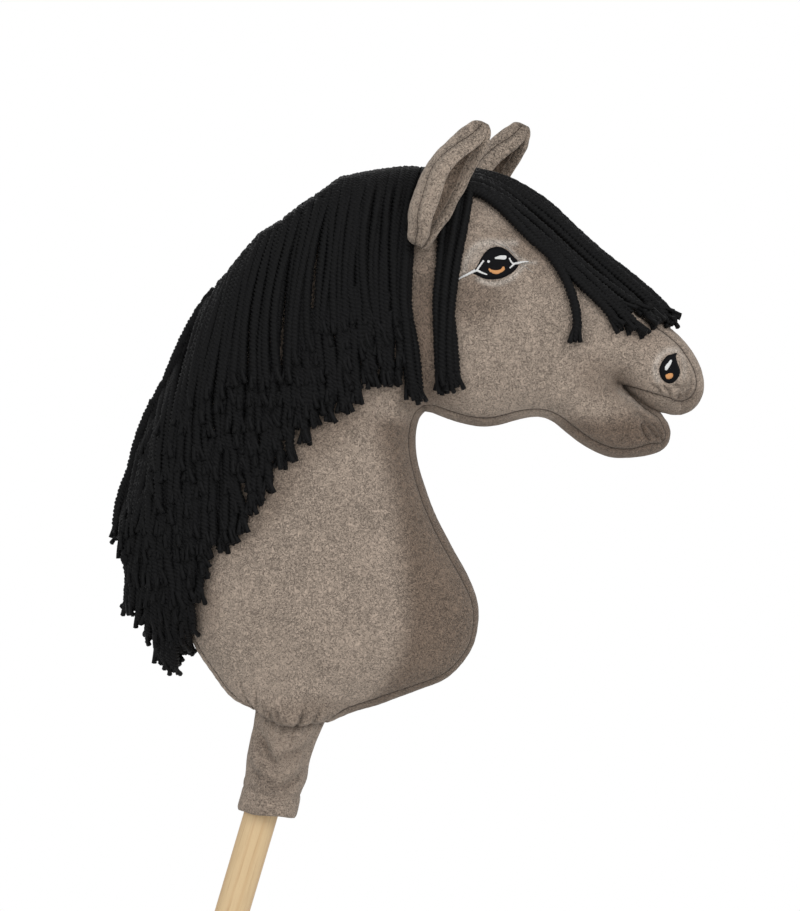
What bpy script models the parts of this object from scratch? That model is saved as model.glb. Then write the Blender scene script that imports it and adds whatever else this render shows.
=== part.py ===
"""Hobby horse: a stuffed plush horse head with a yarn mane, on a round wooden stick.

The outline is the horse's side view, X towards the nose and Z up, in millimetres from the
point where the stick's axis enters the neck. The plush swells to both sides of it by one
formula, and its panels, filling, eyes and mane all take their places from that surface.
The object's origin is the centre of the stick's foot.
"""
import math

import bmesh
import bpy
import numpy as np
from mathutils import Vector
from mathutils.geometry import delaunay_2d_cdt

MM = 0.001

# The stick and the pocket that it slides into
STICK_DIAMETER = 25.0
STICK_BELOW_CUFF = 400.0
STICK_IN_NECK = 250.0
STICK_END_ROUNDING = 4.0
STICK_FOOT_CHAMFER = 1.0
STICK_LEAN = math.radians(16.5)
STICK_SIDES = 32
POCKET_PLAY = 0.5
POCKET_WALL = 1.5
POCKET_ABOVE_CUFF = 2.0
BORE_RUN_OUT = 30.0
SEAT_GAP = 0.3

# The cuff that hangs from the neck around the stick
CUFF_DROP = 68.0
CUFF_TOP_HEIGHT = 4.0
CUFF_TOP_RADIUS = 28.0
CUFF_TOP_EASE = 0.5
CUFF_RADIUS = 22.5
CUFF_WALL = 2.5
CUFF_HEM = 18.0
CUFF_HEM_FOLD = 1.2
CUFF_HEM_EDGE = 1.2
CUFF_CREASE = 0.8

# The cuff's outer side: how far below its top, or above its hem's edge, and what the radius gains
CUFF_FLARE = [(8.0, 2.6), (18.0, 1.0)]
CUFF_HEM_SIDE = [(CUFF_HEM + 12.0, -0.3), (CUFF_HEM + 1.5, -CUFF_CREASE),
                 (CUFF_HEM - 1.5, CUFF_HEM_FOLD - 0.4), (6.0, CUFF_HEM_FOLD),
                 (CUFF_HEM_EDGE, CUFF_HEM_FOLD - 1.0), (0.0, -1.0)]

# The form's root inside the cuff, which keeps the neck's base from closing
ROOT_DEPTH = 70.0
ROOT_SHOULDER = 25.0
ROOT_SHOULDER_EASE = 2.0

# How far the stuffed form swells and how round its edges are
FULL_HALF_WIDTH = 58.0
SWELL_LENGTH = 60.0
ROOF_LIP_ROUNDING = 18.0
FLOOR_LIP_ROUNDING = 8.0
GATHER_HEIGHT = 70.0
GATHER_SHARE = 0.62
FABRIC = 2.0
FILLING_GAP = 0.5
SEAM_GAP = 0.2

# How finely the outline and the surface are sampled, and what counts as the same point
CURVE_STEP = 3.0
OUTLINE_STEP = 15.0
FINE_STEP = 7.0
PANEL_STEP = 17.0
LIP_RING = 13.0
ACROSS = 4
GRID_CLEARANCE = 0.6
SAME_POINT = 0.01
MERGED_POINTS = 1e-5
NO_LENGTH = 1e-6
TINY = 1e-9
LEAST_SUM = 1e-12
SLOPE_STEP = 0.2
TURN_MERGE = 1e-5
SHARP_ANGLE = 50
LOCK_POINTS = 4
STRAND_ROUNDING = 2
LIFT_PASSES = 12
DEPTH_PASSES = 30

# Half the width of each gusset between the two side panels, and the deepest that its seam lies
GUSSET_HALF = 22.0
MUZZLE_GUSSET_HALF = 27.0
DEEPEST_SEAM = 26.0

# Yarn; a forelock strand has its place across the face, its start along it and its length
TAPE_HALF = 8.0
TAPE_START = 6
TAPE_THICKNESS = 1.2
TAPE_CLEARANCE = 0.2
MANE_PILE = 9.0
MANE_EDGE_ROUNDING = 6.0
MANE_END_INSET = 3.0
MANE_TOP_INSET = 0.5
MANE_LOCKS = 7
LOCK_GAP = 0.5
SIDE_LOCK_STEP = 15.3
SIDE_LOCK_PILE = 8.0
SIDE_LOCK_SINK = 6.0
FORELOCK_RADIUS = 4.5
FORELOCK_STEP = 14.0
FORELOCK_ROOT = (126, 402)
FORELOCK = [(-22.0, 28, 98), (-13.2, 14, 168), (-4.4, 0, 200), (4.4, 0, 190), (13.2, 28, 151),
            (22.0, 42, 84)]

# Embroidery
STITCHING = 1.1
STITCH_OUTLINE_STEP = 3.5
STITCH_GRID = 6.0
LEAST_THICKNESS = 0.6

# Ears: leaves folded to a U that opens forwards and a little outwards
EAR_THICKNESS = 5.0
EAR_LINING = 1.6
EAR_RIM = 5.0
EAR_LENGTH = 108.0
EAR_HALF = 38.0
EAR_TIP_HALF = 0.7
EAR_FOLD_RADIUS = 25.0
EAR_TIP_FOLD = 0.55
EAR_ROOT = (104.0, 38.0, 347.0)
EAR_LEAN = 0.46
EAR_SPLAY = 0.08
EAR_TURN = 16.0
FAR_EAR_FORWARD = 0.16
FAR_EAR_SHIFT = 9.0
EAR_ROWS = 9
EAR_COLUMNS = 6

# The ear's leaf: where its base is cut off, where it is widest and how its sides round
EAR_CUT = 0.12
EAR_BELLY = 1.02
EAR_SHOULDER = 2.4
EAR_POINT = 0.75

# The side view of the stuffed form
BACK = [(-26, 10), (-42, 21), (-58.5, 42.8), (-70, 62), (-77, 84), (-78.5, 108), (-75.5, 151),
        (-69, 186), (-60, 221), (-48.5, 258), (-34, 293), (-13.5, 328), (12, 358), (42, 380),
        (74, 394), (107, 401)]
FACE = [(134.7, 400), (157, 390), (179, 373.9), (198.9, 356.2), (218.1, 339.2), (235.8, 324.5),
        (255.7, 309.8), (270, 300.5), (283, 292), (293, 283), (301, 272), (306, 261), (307.5, 249),
        (304.5, 238.5), (298, 231.5), (290.4, 228.6)]
ROOF = [(282.5, 229), (275.6, 231.6), (265.4, 236.2), (255, 244), (245.4, 251.8)]
MOUTH_CORNER = (243.2, 252.4)
FLOOR = [(244, 249.8), (253.4, 241.8), (263.6, 233.4), (274.4, 228.2)]
LIP = [(279.8, 224.2), (282.6, 217.5), (281.5, 208.5), (275, 201.5), (264, 198)]
JAW = [(252, 196.6), (240, 197), (228, 201), (216, 207.5), (205, 216), (196, 223.3), (187, 226.8),
       (178, 226.6), (168, 224.5), (154.6, 220.6), (142, 219.7), (128, 222.4), (116, 226.8),
       (107, 230.5)]
THROAT = [(101.5, 231.5), (97, 226.5)]
FRONT = [(94.5, 214), (96, 197), (101.5, 176), (110, 153), (121, 132), (133, 111), (140.5, 92),
         (141, 74), (135, 54), (118, 35.5), (95, 25), (68, 14.5), (48, 6.5), (30, 1)]

# The mane's edge outside the neck, from the poll round to its last tips, and its lower edge
MANE_EDGE = [(107, 412), (72, 411), (39, 406), (10.5, 390), (-21.6, 366), (-46, 336), (-68.7, 300),
             (-82, 268), (-96, 240), (-110, 207), (-119, 172), (-128, 142)]
MANE_TIPS = [(-130.5, 133), (-126, 110), (-122, 88), (-108, 66), (-96, 50), (-84, 40), (-72, 50),
             (-66, 100), (-55, 122), (-40, 136), (-24, 155), (-14, 178), (8, 202), (28, 228),
             (50, 232), (68, 252), (86, 256)]

# How many points of the back lie below the mane, of its tips behind the neck, of the face under
# the forelock and of the face round the muzzle
BACK_BELOW_MANE = 4
MANE_REAR_TIPS = 7
FACE_UNDER_FORELOCK = 10
MUZZLE_POINTS = 5

# The locks that hang behind and in front of the ear
SIDE_LOCKS = {
    "rear": [(89, 336), (88, 300), (87, 262), (88, 241), (102, 240), (103, 262), (102, 300),
             (101, 334)],
    "front": [(125, 366), (122, 330), (116, 290), (113, 250), (128, 247), (130, 290), (134, 330),
              (138, 368)],
}

# The planes where the filling's pieces meet
HEAD_CUT = ((97, 228), (30, 372))
MUZZLE_CUT = ((249, 247), (262, 320))

# Embroidered shapes
EYE = [(137.6, 333.5), (142, 341), (147.5, 348), (153, 351.8), (158, 352.3), (163, 349.6),
       (168, 344.5), (171, 338.5), (167.5, 333), (161, 329.2), (153.5, 328.6), (145, 329.8)]
IRIS = [(147.5, 337), (154, 335.5), (160.5, 337.2), (158.5, 334), (154, 332.6), (149.8, 333.8)]
GLINT = [(151, 343.2), (156, 345.9), (162, 344.6), (157, 342.2)]
NOSTRIL = [(274.2, 262), (276.5, 269), (281, 274.5), (287, 274), (289.4, 268), (287.6, 259.5),
           (282.5, 253.5), (277, 255)]
NOSTRIL_SPOT = [(279.3, 257.8), (281, 260), (283.6, 259.6), (284.3, 257.2), (282.2, 255.4),
                (280, 255.7)]

COLOURS = {
    "plush": ((0.235, 0.191, 0.156), 0.95),
    "plush_shaded": ((0.135, 0.106, 0.084), 0.95),
    "ear_plush": ((0.262, 0.214, 0.176), 0.95),
    "lining": ((0.05, 0.035, 0.028), 0.95),
    "filling": ((0.82, 0.82, 0.80), 0.95),
    "yarn": ((0.012, 0.012, 0.013), 0.85),
    "tape": ((0.02, 0.02, 0.02), 0.8),
    "pine": ((0.76, 0.51, 0.27), 0.55),
    "pocket": ((0.55, 0.50, 0.42), 0.85),
    "thread_black": ((0.008, 0.008, 0.009), 0.45),
    "thread_orange": ((0.85, 0.34, 0.10), 0.45),
    "thread_white": ((0.88, 0.88, 0.86), 0.45),
}


def clear_scene():
    for item in list(bpy.data.objects):
        bpy.data.objects.remove(item, do_unlink=True)


def collection(name):
    made = bpy.data.collections.new(name)
    bpy.context.scene.collection.children.link(made)
    return made


def material(name):
    found = bpy.data.materials.get(name)
    if found:
        return found
    colour, roughness = COLOURS[name]
    made = bpy.data.materials.new(name)
    made.use_nodes = True
    shader = made.node_tree.nodes["Principled BSDF"]
    shader.inputs["Base Color"].default_value = (*colour, 1.0)
    shader.inputs["Roughness"].default_value = roughness
    shader.inputs["Metallic"].default_value = 0.0
    made.diffuse_color = (*colour, 1.0)
    return made


clear_scene()
PARTS = collection("hobby_horse")
CUTTERS = collection("cutters")

LEAN_AXIS = np.array([math.sin(STICK_LEAN), math.cos(STICK_LEAN)])
LEAN_ACROSS = np.array([math.cos(STICK_LEAN), -math.sin(STICK_LEAN)])
NECK_BASE = STICK_BELOW_CUFF + CUFF_DROP
STICK_LENGTH = NECK_BASE + STICK_IN_NECK
BASE_POINT = LEAN_AXIS * NECK_BASE

horse = bpy.data.objects.new("horse_head", None)
horse.location = (BASE_POINT[0] * MM, 0.0, BASE_POINT[1] * MM)
PARTS.objects.link(horse)


# Outline and swelling

def smooth_curve(points, step, closed=False):
    """A Catmull-Rom curve through the points, sampled about every step millimetres."""
    pts = np.array(points, float)
    count = len(pts)
    spans = count if closed else count - 1
    out = []
    for i in range(spans):
        if closed:
            a, b, c, d = (pts[(i + k) % count] for k in (-1, 0, 1, 2))
        else:
            b, c = pts[i], pts[i + 1]
            a = pts[i - 1] if i else 2 * b - c
            d = pts[i + 2] if i + 2 < count else 2 * c - b
        pieces = max(1, round(float(np.linalg.norm(c - b)) / step))
        for k in range(pieces):
            t = k / pieces
            out.append(0.5 * (2 * b + (c - a) * t + (2 * a - 5 * b + 4 * c - d) * t ** 2
                              + (3 * b - a - 3 * c + d) * t ** 3))
    if not closed:
        out.append(pts[-1])
    return np.array(out)


def edge_distance(points, outline):
    """Distance to the outline, true close to it and free of creases inside; negative outside."""
    to_here = outline[None] - points[:, None]
    reach = np.linalg.norm(to_here, axis=2) + TINY
    to_next = np.roll(to_here, -1, axis=1)
    next_reach = np.roll(reach, -1, axis=1)
    cross = to_here[..., 0] * to_next[..., 1] - to_here[..., 1] * to_next[..., 0]
    dot = (to_here * to_next).sum(axis=2)
    half_angle = cross / (reach * next_reach + dot + TINY)
    total = ((1 / reach + 1 / next_reach) * half_angle).sum(axis=1)
    return 2.0 / np.where(np.abs(total) < LEAST_SUM, LEAST_SUM, total)


def resampled(chain, step):
    """The chain cut into equal lengths of about the step."""
    lengths = np.r_[0.0, np.cumsum(np.linalg.norm(np.diff(chain, axis=0), axis=1))]
    count = max(2, round(lengths[-1] / step) + 1)
    at = np.linspace(0, lengths[-1], count)
    return np.column_stack([np.interp(at, lengths, chain[:, k]) for k in (0, 1)])


ROOT_SIDE = [(CUFF_TOP_HEIGHT, CUFF_TOP_RADIUS), (-ROOT_SHOULDER, CUFF_RADIUS + ROOT_SHOULDER_EASE),
             (-ROOT_DEPTH, CUFF_RADIUS)]
CUFF_ROOT = [tuple(LEAN_AXIS * up + LEAN_ACROSS * out) for up, out in
             ROOT_SIDE + [(up, -out) for up, out in ROOT_SIDE[::-1]]]

# The neck's front and back end where the cuff begins
BACK[0] = CUFF_ROOT[-1]
FRONT[-1] = CUFF_ROOT[0]


def body_outline(back):
    """The closed outline, anticlockwise, with its lips shut and with the root of the cuff."""
    top = smooth_curve(list(back) + FACE, CURVE_STEP)
    under = smooth_curve(LIP + JAW + THROAT + FRONT, CURVE_STEP)
    root = np.array(CUFF_ROOT[1:-1])
    return np.vstack([top, under, root])[::-1]


OUTLINE = body_outline(BACK)
UPPER_LIP_EDGE = smooth_curve(FACE[-1:] + ROOF + [MOUTH_CORNER], CURVE_STEP)
LOWER_LIP_EDGE = smooth_curve([MOUTH_CORNER] + FLOOR + LIP[:1], CURVE_STEP)
MOUTH_SLIT = np.vstack([UPPER_LIP_EDGE, LOWER_LIP_EDGE[1:]])
MANE_OUTLINE = body_outline(BACK[:BACK_BELOW_MANE] + MANE_TIPS[:MANE_REAR_TIPS][::-1]
                            + MANE_EDGE[::-1])


def gather(points):
    """The neck is gathered in towards the cuff: 1 up in the neck, less close to the base."""
    height = np.clip((points @ LEAN_AXIS - CUFF_TOP_HEIGHT) / GATHER_HEIGHT, 0, 1)
    return GATHER_SHARE + (1 - GATHER_SHARE) * height * height * (3 - 2 * height)


def in_mouth(points):
    """Whether points lie in the slit between the lips."""
    to_here = MOUTH_SLIT[None] - points[:, None]
    to_next = np.roll(to_here, -1, axis=1)
    cross = to_here[..., 0] * to_next[..., 1] - to_here[..., 1] * to_next[..., 0]
    return np.abs(np.arctan2(cross, (to_here * to_next).sum(axis=2)).sum(axis=1)) > math.pi


def lip_distance(points, chain):
    """True distance to a lip's edge."""
    start, run = chain[:-1], np.diff(chain, axis=0)
    offset = points[:, None] - start[None]
    share = np.clip((offset * run).sum(axis=2) / (run * run).sum(axis=1), 0, 1)
    return np.linalg.norm(offset - share[..., None] * run, axis=2).min(axis=1)


def swell(points, outline=OUTLINE):
    """The square of the stuffed form's half width over the side view; negative outside it."""
    depth = np.clip(edge_distance(points, outline), -SWELL_LENGTH, None)
    share = 1 - np.exp(-2 * depth / SWELL_LENGTH)
    for chain, rounding in ((UPPER_LIP_EDGE, ROOF_LIP_ROUNDING), (LOWER_LIP_EDGE, FLOOR_LIP_ROUNDING)):
        share = share * (1 - np.exp(-2 * lip_distance(points, chain) / rounding))
    share = np.where(in_mouth(points), -np.abs(share), share)
    return FULL_HALF_WIDTH ** 2 * share * gather(points)


def swell_slope(points, outline=OUTLINE):
    slopes = []
    for shift in np.eye(2) * SLOPE_STEP:
        rise = swell(points + shift, outline) - swell(points - shift, outline)
        slopes.append(rise / (2 * SLOPE_STEP))
    return np.column_stack(slopes)


def half_width(points, lift=0.0, outline=OUTLINE):
    """Half width of the form, or of the surface that lies the lift outside it."""
    points = np.atleast_2d(np.array(points, float))
    square = swell(points, outline)
    slope = (swell_slope(points, outline) ** 2).sum(axis=1)
    width = np.sqrt(np.clip(square, 0, None))
    for _ in range(LIFT_PASSES):
        width = np.sqrt(np.clip(square + lift * np.sqrt(slope + 4 * width ** 2), 0, None))
    return width


def outward(points, y):
    """Unit normals of the form at points of the side view with their widths."""
    slope = swell_slope(points)
    normal = np.column_stack([-slope[:, 0], 2 * y, -slope[:, 1]])
    return normal / np.linalg.norm(normal, axis=1)[:, None]


# Mesh building

def add_object(name, mesh, slot, parent=horse):
    made = bpy.data.objects.new(name, mesh)
    PARTS.objects.link(made)
    made.parent = parent
    made.data.materials.append(material(slot))
    return made


def solid(name, verts, faces, slot, parent=horse):
    """An object from points in millimetres and faces, with its faces turned outwards."""
    mesh = bpy.data.meshes.new(name)
    mesh.from_pydata([tuple(float(c) * MM for c in v) for v in verts], [], faces)
    form = bmesh.new()
    form.from_mesh(mesh)
    loose = [v for v in form.verts if not v.link_faces]
    bmesh.ops.delete(form, geom=loose, context="VERTS")
    bmesh.ops.recalc_face_normals(form, faces=form.faces)
    form.to_mesh(mesh)
    form.free()
    mesh.shade_smooth()
    mesh.set_sharp_from_angle(angle=math.radians(SHARP_ANGLE))
    return add_object(name, mesh, slot, parent)


def border_edges(faces):
    """Directed edges that only one of the faces has."""
    seen = {}
    for face in faces:
        for a, b in zip(face, face[1:] + face[:1]):
            if (b, a) in seen:
                seen.pop((b, a))
            else:
                seen[(a, b)] = True
    return list(seen)


def sheet_solid(name, inner, outer, faces, slot, parent=horse):
    """A closed sheet between two sets of points that share their faces."""
    count = len(inner)
    used = [list(face) for face in faces]
    made = [[i + count for i in face] for face in used]
    made += [face[::-1] for face in used]
    made += [[a, b, b + count, a + count] for a, b in border_edges(used)]
    return solid(name, np.vstack([inner, outer]), made, slot, parent=parent)


def filled(outline, step, extra=()):
    """Triangles that fill an outline: its points, the extra ones, then a triangular grid."""
    outline = np.array(outline, float)
    low, high = outline.min(axis=0), outline.max(axis=0)
    row_height = step * math.sqrt(3) / 2
    grid = []
    for row, z in enumerate(np.arange(low[1] + row_height / 2, high[1], row_height)):
        for x in np.arange(low[0] + (row % 2) * step / 2, high[0], step):
            grid.append((x, z))
    grid = np.array(grid) if grid else np.zeros((0, 2))
    if len(grid):
        area = np.roll(outline, -1, axis=0) - outline
        turn = (outline[:, 0] * area[:, 1] - outline[:, 1] * area[:, 0]).sum()
        loop = outline if turn > 0 else outline[::-1]
        inside = edge_distance(grid, loop) > 0
        fixed = np.vstack([outline, *[np.reshape(point, (1, 2)) for point in extra]])
        nearest = np.linalg.norm(grid[:, None] - fixed[None], axis=2).min(axis=1)
        grid = grid[inside & (nearest > GRID_CLEARANCE * step)]
        grid = np.vstack([fixed[len(outline):], grid])
    points = np.vstack([outline, grid])
    loop_edges = [(i, (i + 1) % len(outline)) for i in range(len(outline))]
    made = delaunay_2d_cdt([Vector(p) for p in points], loop_edges, [], 1, MERGED_POINTS)
    verts, faces, origin = made[0], made[2], made[3]
    where = {}
    for i, sources in enumerate(origin):
        where[i] = sources[0] if sources else len(points)
    assert len(verts) == len(points), "the outline crosses itself"
    return points, [[where[i] for i in face] for face in faces]


def placed(flat, y):
    return np.column_stack([flat[:, 0], y, flat[:, 1]])


def patch(name, outline, step, slot, under, over, side=-1):
    """A solid over an outline of the side view, between two half-width functions."""
    flat, faces = filled(outline, step)
    low = under(flat)
    high = np.maximum(over(flat), low + LEAST_THICKNESS)
    return sheet_solid(name, placed(flat, side * low), placed(flat, side * high), faces, slot)


# The stuffed form: one mesh whose edges follow the seams

def gusset_samples():
    """Points along the outline with their inward direction, gusset and its half width."""
    forehead = BACK[-1:] + FACE[:-MUZZLE_POINTS]
    muzzle = FACE[-MUZZLE_POINTS - 1:]
    chains = [
        ("back_gusset", resampled(smooth_curve(BACK, CURVE_STEP), OUTLINE_STEP), GUSSET_HALF),
        ("forehead_gusset", resampled(smooth_curve(forehead, CURVE_STEP), OUTLINE_STEP),
         GUSSET_HALF),
        ("forehead_gusset", resampled(smooth_curve(muzzle, CURVE_STEP), FINE_STEP),
         MUZZLE_GUSSET_HALF),
        ("mouth_lining", resampled(smooth_curve(FACE[-1:] + ROOF, CURVE_STEP), FINE_STEP),
         MUZZLE_GUSSET_HALF),
        ("mouth_lining", np.array([MOUTH_CORNER]), GUSSET_HALF),
        ("mouth_lining", resampled(smooth_curve(FLOOR, CURVE_STEP), FINE_STEP), GUSSET_HALF),
        ("chin_gusset", resampled(smooth_curve(FLOOR[-1:] + LIP + JAW[:1], CURVE_STEP), FINE_STEP),
         GUSSET_HALF),
        ("chin_gusset", resampled(smooth_curve(JAW + THROAT[:1], CURVE_STEP), OUTLINE_STEP),
         GUSSET_HALF),
        ("neck_gusset", resampled(smooth_curve(THROAT + FRONT, CURVE_STEP), OUTLINE_STEP),
         GUSSET_HALF),
    ]
    samples = []
    for name, points, half in chains:
        for point in points:
            if samples and np.linalg.norm(samples[-1]["at"] - point) < SAME_POINT:
                samples[-1]["next"] = name
                continue
            samples.append({"at": point, "gusset": name, "next": name, "half": half})
    return samples


def set_directions(samples):
    """Inward directions across the outline; along the cut at the neck's base, along that cut."""
    at = np.array([s["at"] for s in samples])
    for i, sample in enumerate(samples):
        before = at[max(i - 1, 0)]
        after = at[min(i + 1, len(at) - 1)]
        tangent = after - before
        sample["inward"] = np.array([tangent[1], -tangent[0]]) / np.linalg.norm(tangent)
    samples[0]["inward"] = LEAN_ACROSS
    samples[-1]["inward"] = -LEAN_ACROSS


def depth_for(sample, y):
    """How far in from the outline the form is y wide to each side."""
    low, high = 0.0, DEEPEST_SEAM
    for _ in range(DEPTH_PASSES):
        mid = (low + high) / 2
        if swell(np.array([sample["at"] + sample["inward"] * mid]))[0] < y * y:
            low = mid
        else:
            high = mid
    return high


def stuffed_form():
    """Vertices, normals and faces grouped by panel."""
    samples = gusset_samples()
    set_directions(samples)
    verts, groups = [], {}
    rows = []
    for sample in samples:
        row = []
        for k in range(ACROSS + 1):
            y = sample["half"] * (2 * k / ACROSS - 1)
            depth = depth_for(sample, abs(y)) if y else 0.0
            x, z = sample["at"] + sample["inward"] * depth
            row.append(len(verts))
            verts.append((x, y, z))
        rows.append(row)
    for i in range(len(rows) - 1):
        faces = groups.setdefault(samples[i]["next"], [])
        for k in range(ACROSS):
            a, b, c, d = rows[i][k], rows[i][k + 1], rows[i + 1][k + 1], rows[i + 1][k]
            faces += [[a, b, c], [a, c, d]]
    flat_verts = np.array(verts)
    seam = np.array([flat_verts[row[0]][[0, 2]] for row in rows])
    base_cut = resampled(np.array([seam[-1], seam[0]]), OUTLINE_STEP)[1:-1]
    loop = np.vstack([seam, base_cut])
    lips = [s["at"] + s["inward"] * LIP_RING for s in samples if s["gusset"] == "mouth_lining"]
    flat, faces = filled(loop, PANEL_STEP, lips)
    width = half_width(flat)
    for side, name, column in ((-1, "near_side_panel", 0), (1, "far_side_panel", ACROSS)):
        index = {i: rows[i][column] for i in range(len(rows))}
        for i in range(len(rows), len(flat)):
            index[i] = len(verts)
            verts.append((flat[i, 0], side * width[i], flat[i, 1]))
        made = [[index[i] for i in face] for face in faces]
        groups[name] = made if side > 0 else [face[::-1] for face in made]
    verts = np.array(verts)
    return verts, outward(verts[:, [0, 2]], verts[:, 1]), groups


FORM, FORM_NORMALS, PANELS = stuffed_form()


def shrunk_border(points, faces, amount):
    """Points with the border of the faces drawn in a little, so that seams don't touch."""
    moved = points.copy()
    border = {i for edge in border_edges(faces) for i in edge}
    towards = {i: [] for i in border}
    for face in faces:
        centre = points[face].mean(axis=0)
        for i in face:
            if i in towards:
                towards[i].append(centre - points[i])
    for i, directions in towards.items():
        pull = np.sum(directions, axis=0)
        pull -= FORM_NORMALS[i] * (pull @ FORM_NORMALS[i])
        length = np.linalg.norm(pull)
        if length > NO_LENGTH:
            moved[i] += pull / length * amount
    return moved


def consistent(faces):
    """The same faces, all turned the same way as the first."""
    form = bmesh.new()
    for point in FORM:
        form.verts.new(tuple(point))
    form.verts.ensure_lookup_table()
    for face in faces:
        form.faces.new([form.verts[i] for i in face])
    bmesh.ops.recalc_face_normals(form, faces=form.faces)
    form.verts.index_update()
    made = [[v.index for v in face.verts] for face in form.faces]
    form.free()
    return made


def sew_panels():
    slots = {"neck_gusset": "plush_shaded", "mouth_lining": "lining"}
    for name, faces in PANELS.items():
        faces = consistent(faces)
        inner = shrunk_border(FORM - FORM_NORMALS * FABRIC, faces, SEAM_GAP)
        outer = shrunk_border(FORM, faces, SEAM_GAP)
        sheet_solid(name, inner, outer, faces, slots.get(name, "plush"))


def closed_form(name, lift, slot):
    """The whole form as one closed body, its surface moved out by the lift."""
    faces = consistent([face for group in PANELS.values() for face in group])
    ring = border_edges(faces)
    following = {a: b for a, b in ring}
    start = ring[0][0]
    loop = [start]
    while following[loop[-1]] != start:
        loop.append(following[loop[-1]])
    assert len(loop) == len(ring), "the form is open somewhere else than at the neck's base"
    points = FORM + FORM_NORMALS * lift
    return solid(name, points, faces + [loop[::-1]], slot)


def cut_by_plane(form, line, keep_left, gap):
    """Cuts a bmesh by the upright plane through a line of the side view and closes the cut."""
    (ax, az), (bx, bz) = line
    along = Vector((bx - ax, 0, bz - az)).normalized()
    left = Vector((-along.z, 0, along.x))
    if not keep_left:
        left = -left
    at = (Vector((ax, 0, az)) + left * gap) * MM
    geometry = form.verts[:] + form.edges[:] + form.faces[:]
    made = bmesh.ops.bisect_plane(form, geom=geometry, plane_co=at, plane_no=left, clear_inner=True)
    edges = [e for e in made["geom_cut"] if isinstance(e, bmesh.types.BMEdge)]
    bmesh.ops.contextual_create(form, geom=edges)
    open_edges = [e for e in form.edges if len(e.link_faces) == 1]
    if open_edges:
        bmesh.ops.holes_fill(form, edges=open_edges)
    bmesh.ops.recalc_face_normals(form, faces=form.faces)


def islands(form):
    """Groups of connected vertices."""
    left = set(form.verts)
    found = []
    while left:
        stack = [left.pop()]
        group = set(stack)
        while stack:
            vert = stack.pop()
            for edge in vert.link_edges:
                other = edge.other_vert(vert)
                if other in left:
                    left.discard(other)
                    group.add(other)
                    stack.append(other)
        found.append(group)
    return found


def mean_height(group):
    return sum(v.co.z for v in group) / len(group)


def filling_piece(name, source, cuts, kept=None):
    """A piece of the filling: the source cut by planes, keeping all of it or one island by height."""
    form = bmesh.new()
    form.from_mesh(source.data)
    for line, keep_left in cuts:
        cut_by_plane(form, line, keep_left, SEAT_GAP / 2)
    if kept is not None:
        groups = sorted(islands(form), key=mean_height)
        wanted = groups[kept]
        for group in groups:
            if group is not wanted:
                bmesh.ops.delete(form, geom=list(group), context="VERTS")
    mesh = bpy.data.meshes.new(name)
    form.to_mesh(mesh)
    form.free()
    mesh.shade_smooth()
    mesh.set_sharp_from_angle(angle=math.radians(SHARP_ANGLE))
    return add_object(name, mesh, "filling")


def cut_with(item, cutter):
    modifier = item.modifiers.new("cut", "BOOLEAN")
    modifier.operation = "DIFFERENCE"
    modifier.object = cutter


def as_cutter(item):
    for place in item.users_collection:
        place.objects.unlink(item)
    CUTTERS.objects.link(item)
    item.hide_render = True
    item.display_type = "WIRE"
    return item


def turned(name, profile, slot, parent, closed=False):
    """A turned solid: a profile of (radius, height) points round the Z axis."""
    mesh = bpy.data.meshes.new(name)
    points = [(r * MM, 0.0, z * MM) for r, z in profile]
    edges = [(i, i + 1) for i in range(len(points) - 1)]
    if closed:
        edges.append((len(points) - 1, 0))
    mesh.from_pydata(points, edges, [])
    made = add_object(name, mesh, slot, parent)
    screw = made.modifiers.new("turn", "SCREW")
    screw.steps = STICK_SIDES
    screw.render_steps = STICK_SIDES
    screw.use_merge_vertices = True
    screw.merge_threshold = TURN_MERGE
    return made


# The stick, its pocket and the cuff stand on the leaning axis

leaning = bpy.data.objects.new("stick_axis", None)
leaning.rotation_euler = (0.0, STICK_LEAN, 0.0)
PARTS.objects.link(leaning)


def make_stick():
    radius = STICK_DIAMETER / 2
    corner = STICK_END_ROUNDING
    rounding_steps = 4
    profile = [(0, STICK_LENGTH)]
    for i in range(rounding_steps + 1):
        angle = math.pi / 2 * (1 - i / rounding_steps)
        profile.append((radius - corner + corner * math.cos(angle),
                        STICK_LENGTH - corner + corner * math.sin(angle)))
    profile += [(radius, NECK_BASE), (radius, STICK_BELOW_CUFF / 2), (radius, STICK_FOOT_CHAMFER),
                (radius - STICK_FOOT_CHAMFER, 0), (0, 0)]
    turned("stick", profile, "pine", leaning)


def make_pocket():
    """The canvas pocket in the neck that the stick slides into, closed at its top."""
    bore = STICK_DIAMETER / 2 + POCKET_PLAY
    shell = bore + POCKET_WALL
    foot = NECK_BASE + CUFF_TOP_HEIGHT + POCKET_ABOVE_CUFF
    roof = STICK_LENGTH + SEAT_GAP
    profile = [(0, roof + POCKET_WALL), (shell, roof + POCKET_WALL), (shell, foot), (bore, foot),
               (bore, roof), (0, roof)]
    turned("stick_pocket", profile, "pocket", leaning)


def make_cuff():
    """The cuff: a cloth tube with a folded hem that hangs round the stick."""
    top = NECK_BASE + CUFF_TOP_HEIGHT - SEAT_GAP
    foot = STICK_BELOW_CUFF
    side = [(CUFF_TOP_RADIUS - CUFF_TOP_EASE, top)]
    side += [(CUFF_RADIUS + gain, top - down) for down, gain in CUFF_FLARE]
    hem = [(CUFF_RADIUS + gain, foot + up) for up, gain in CUFF_HEM_SIDE]
    bore = CUFF_RADIUS - CUFF_CREASE - CUFF_WALL
    inside = [(bore, foot + CUFF_HEM_EDGE), (bore, foot + CUFF_HEM)]
    inside += [(radius - CUFF_WALL, height) for radius, height in side[::-1]]
    turned("cuff", side + hem + inside, "plush", leaning, closed=True)


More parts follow.
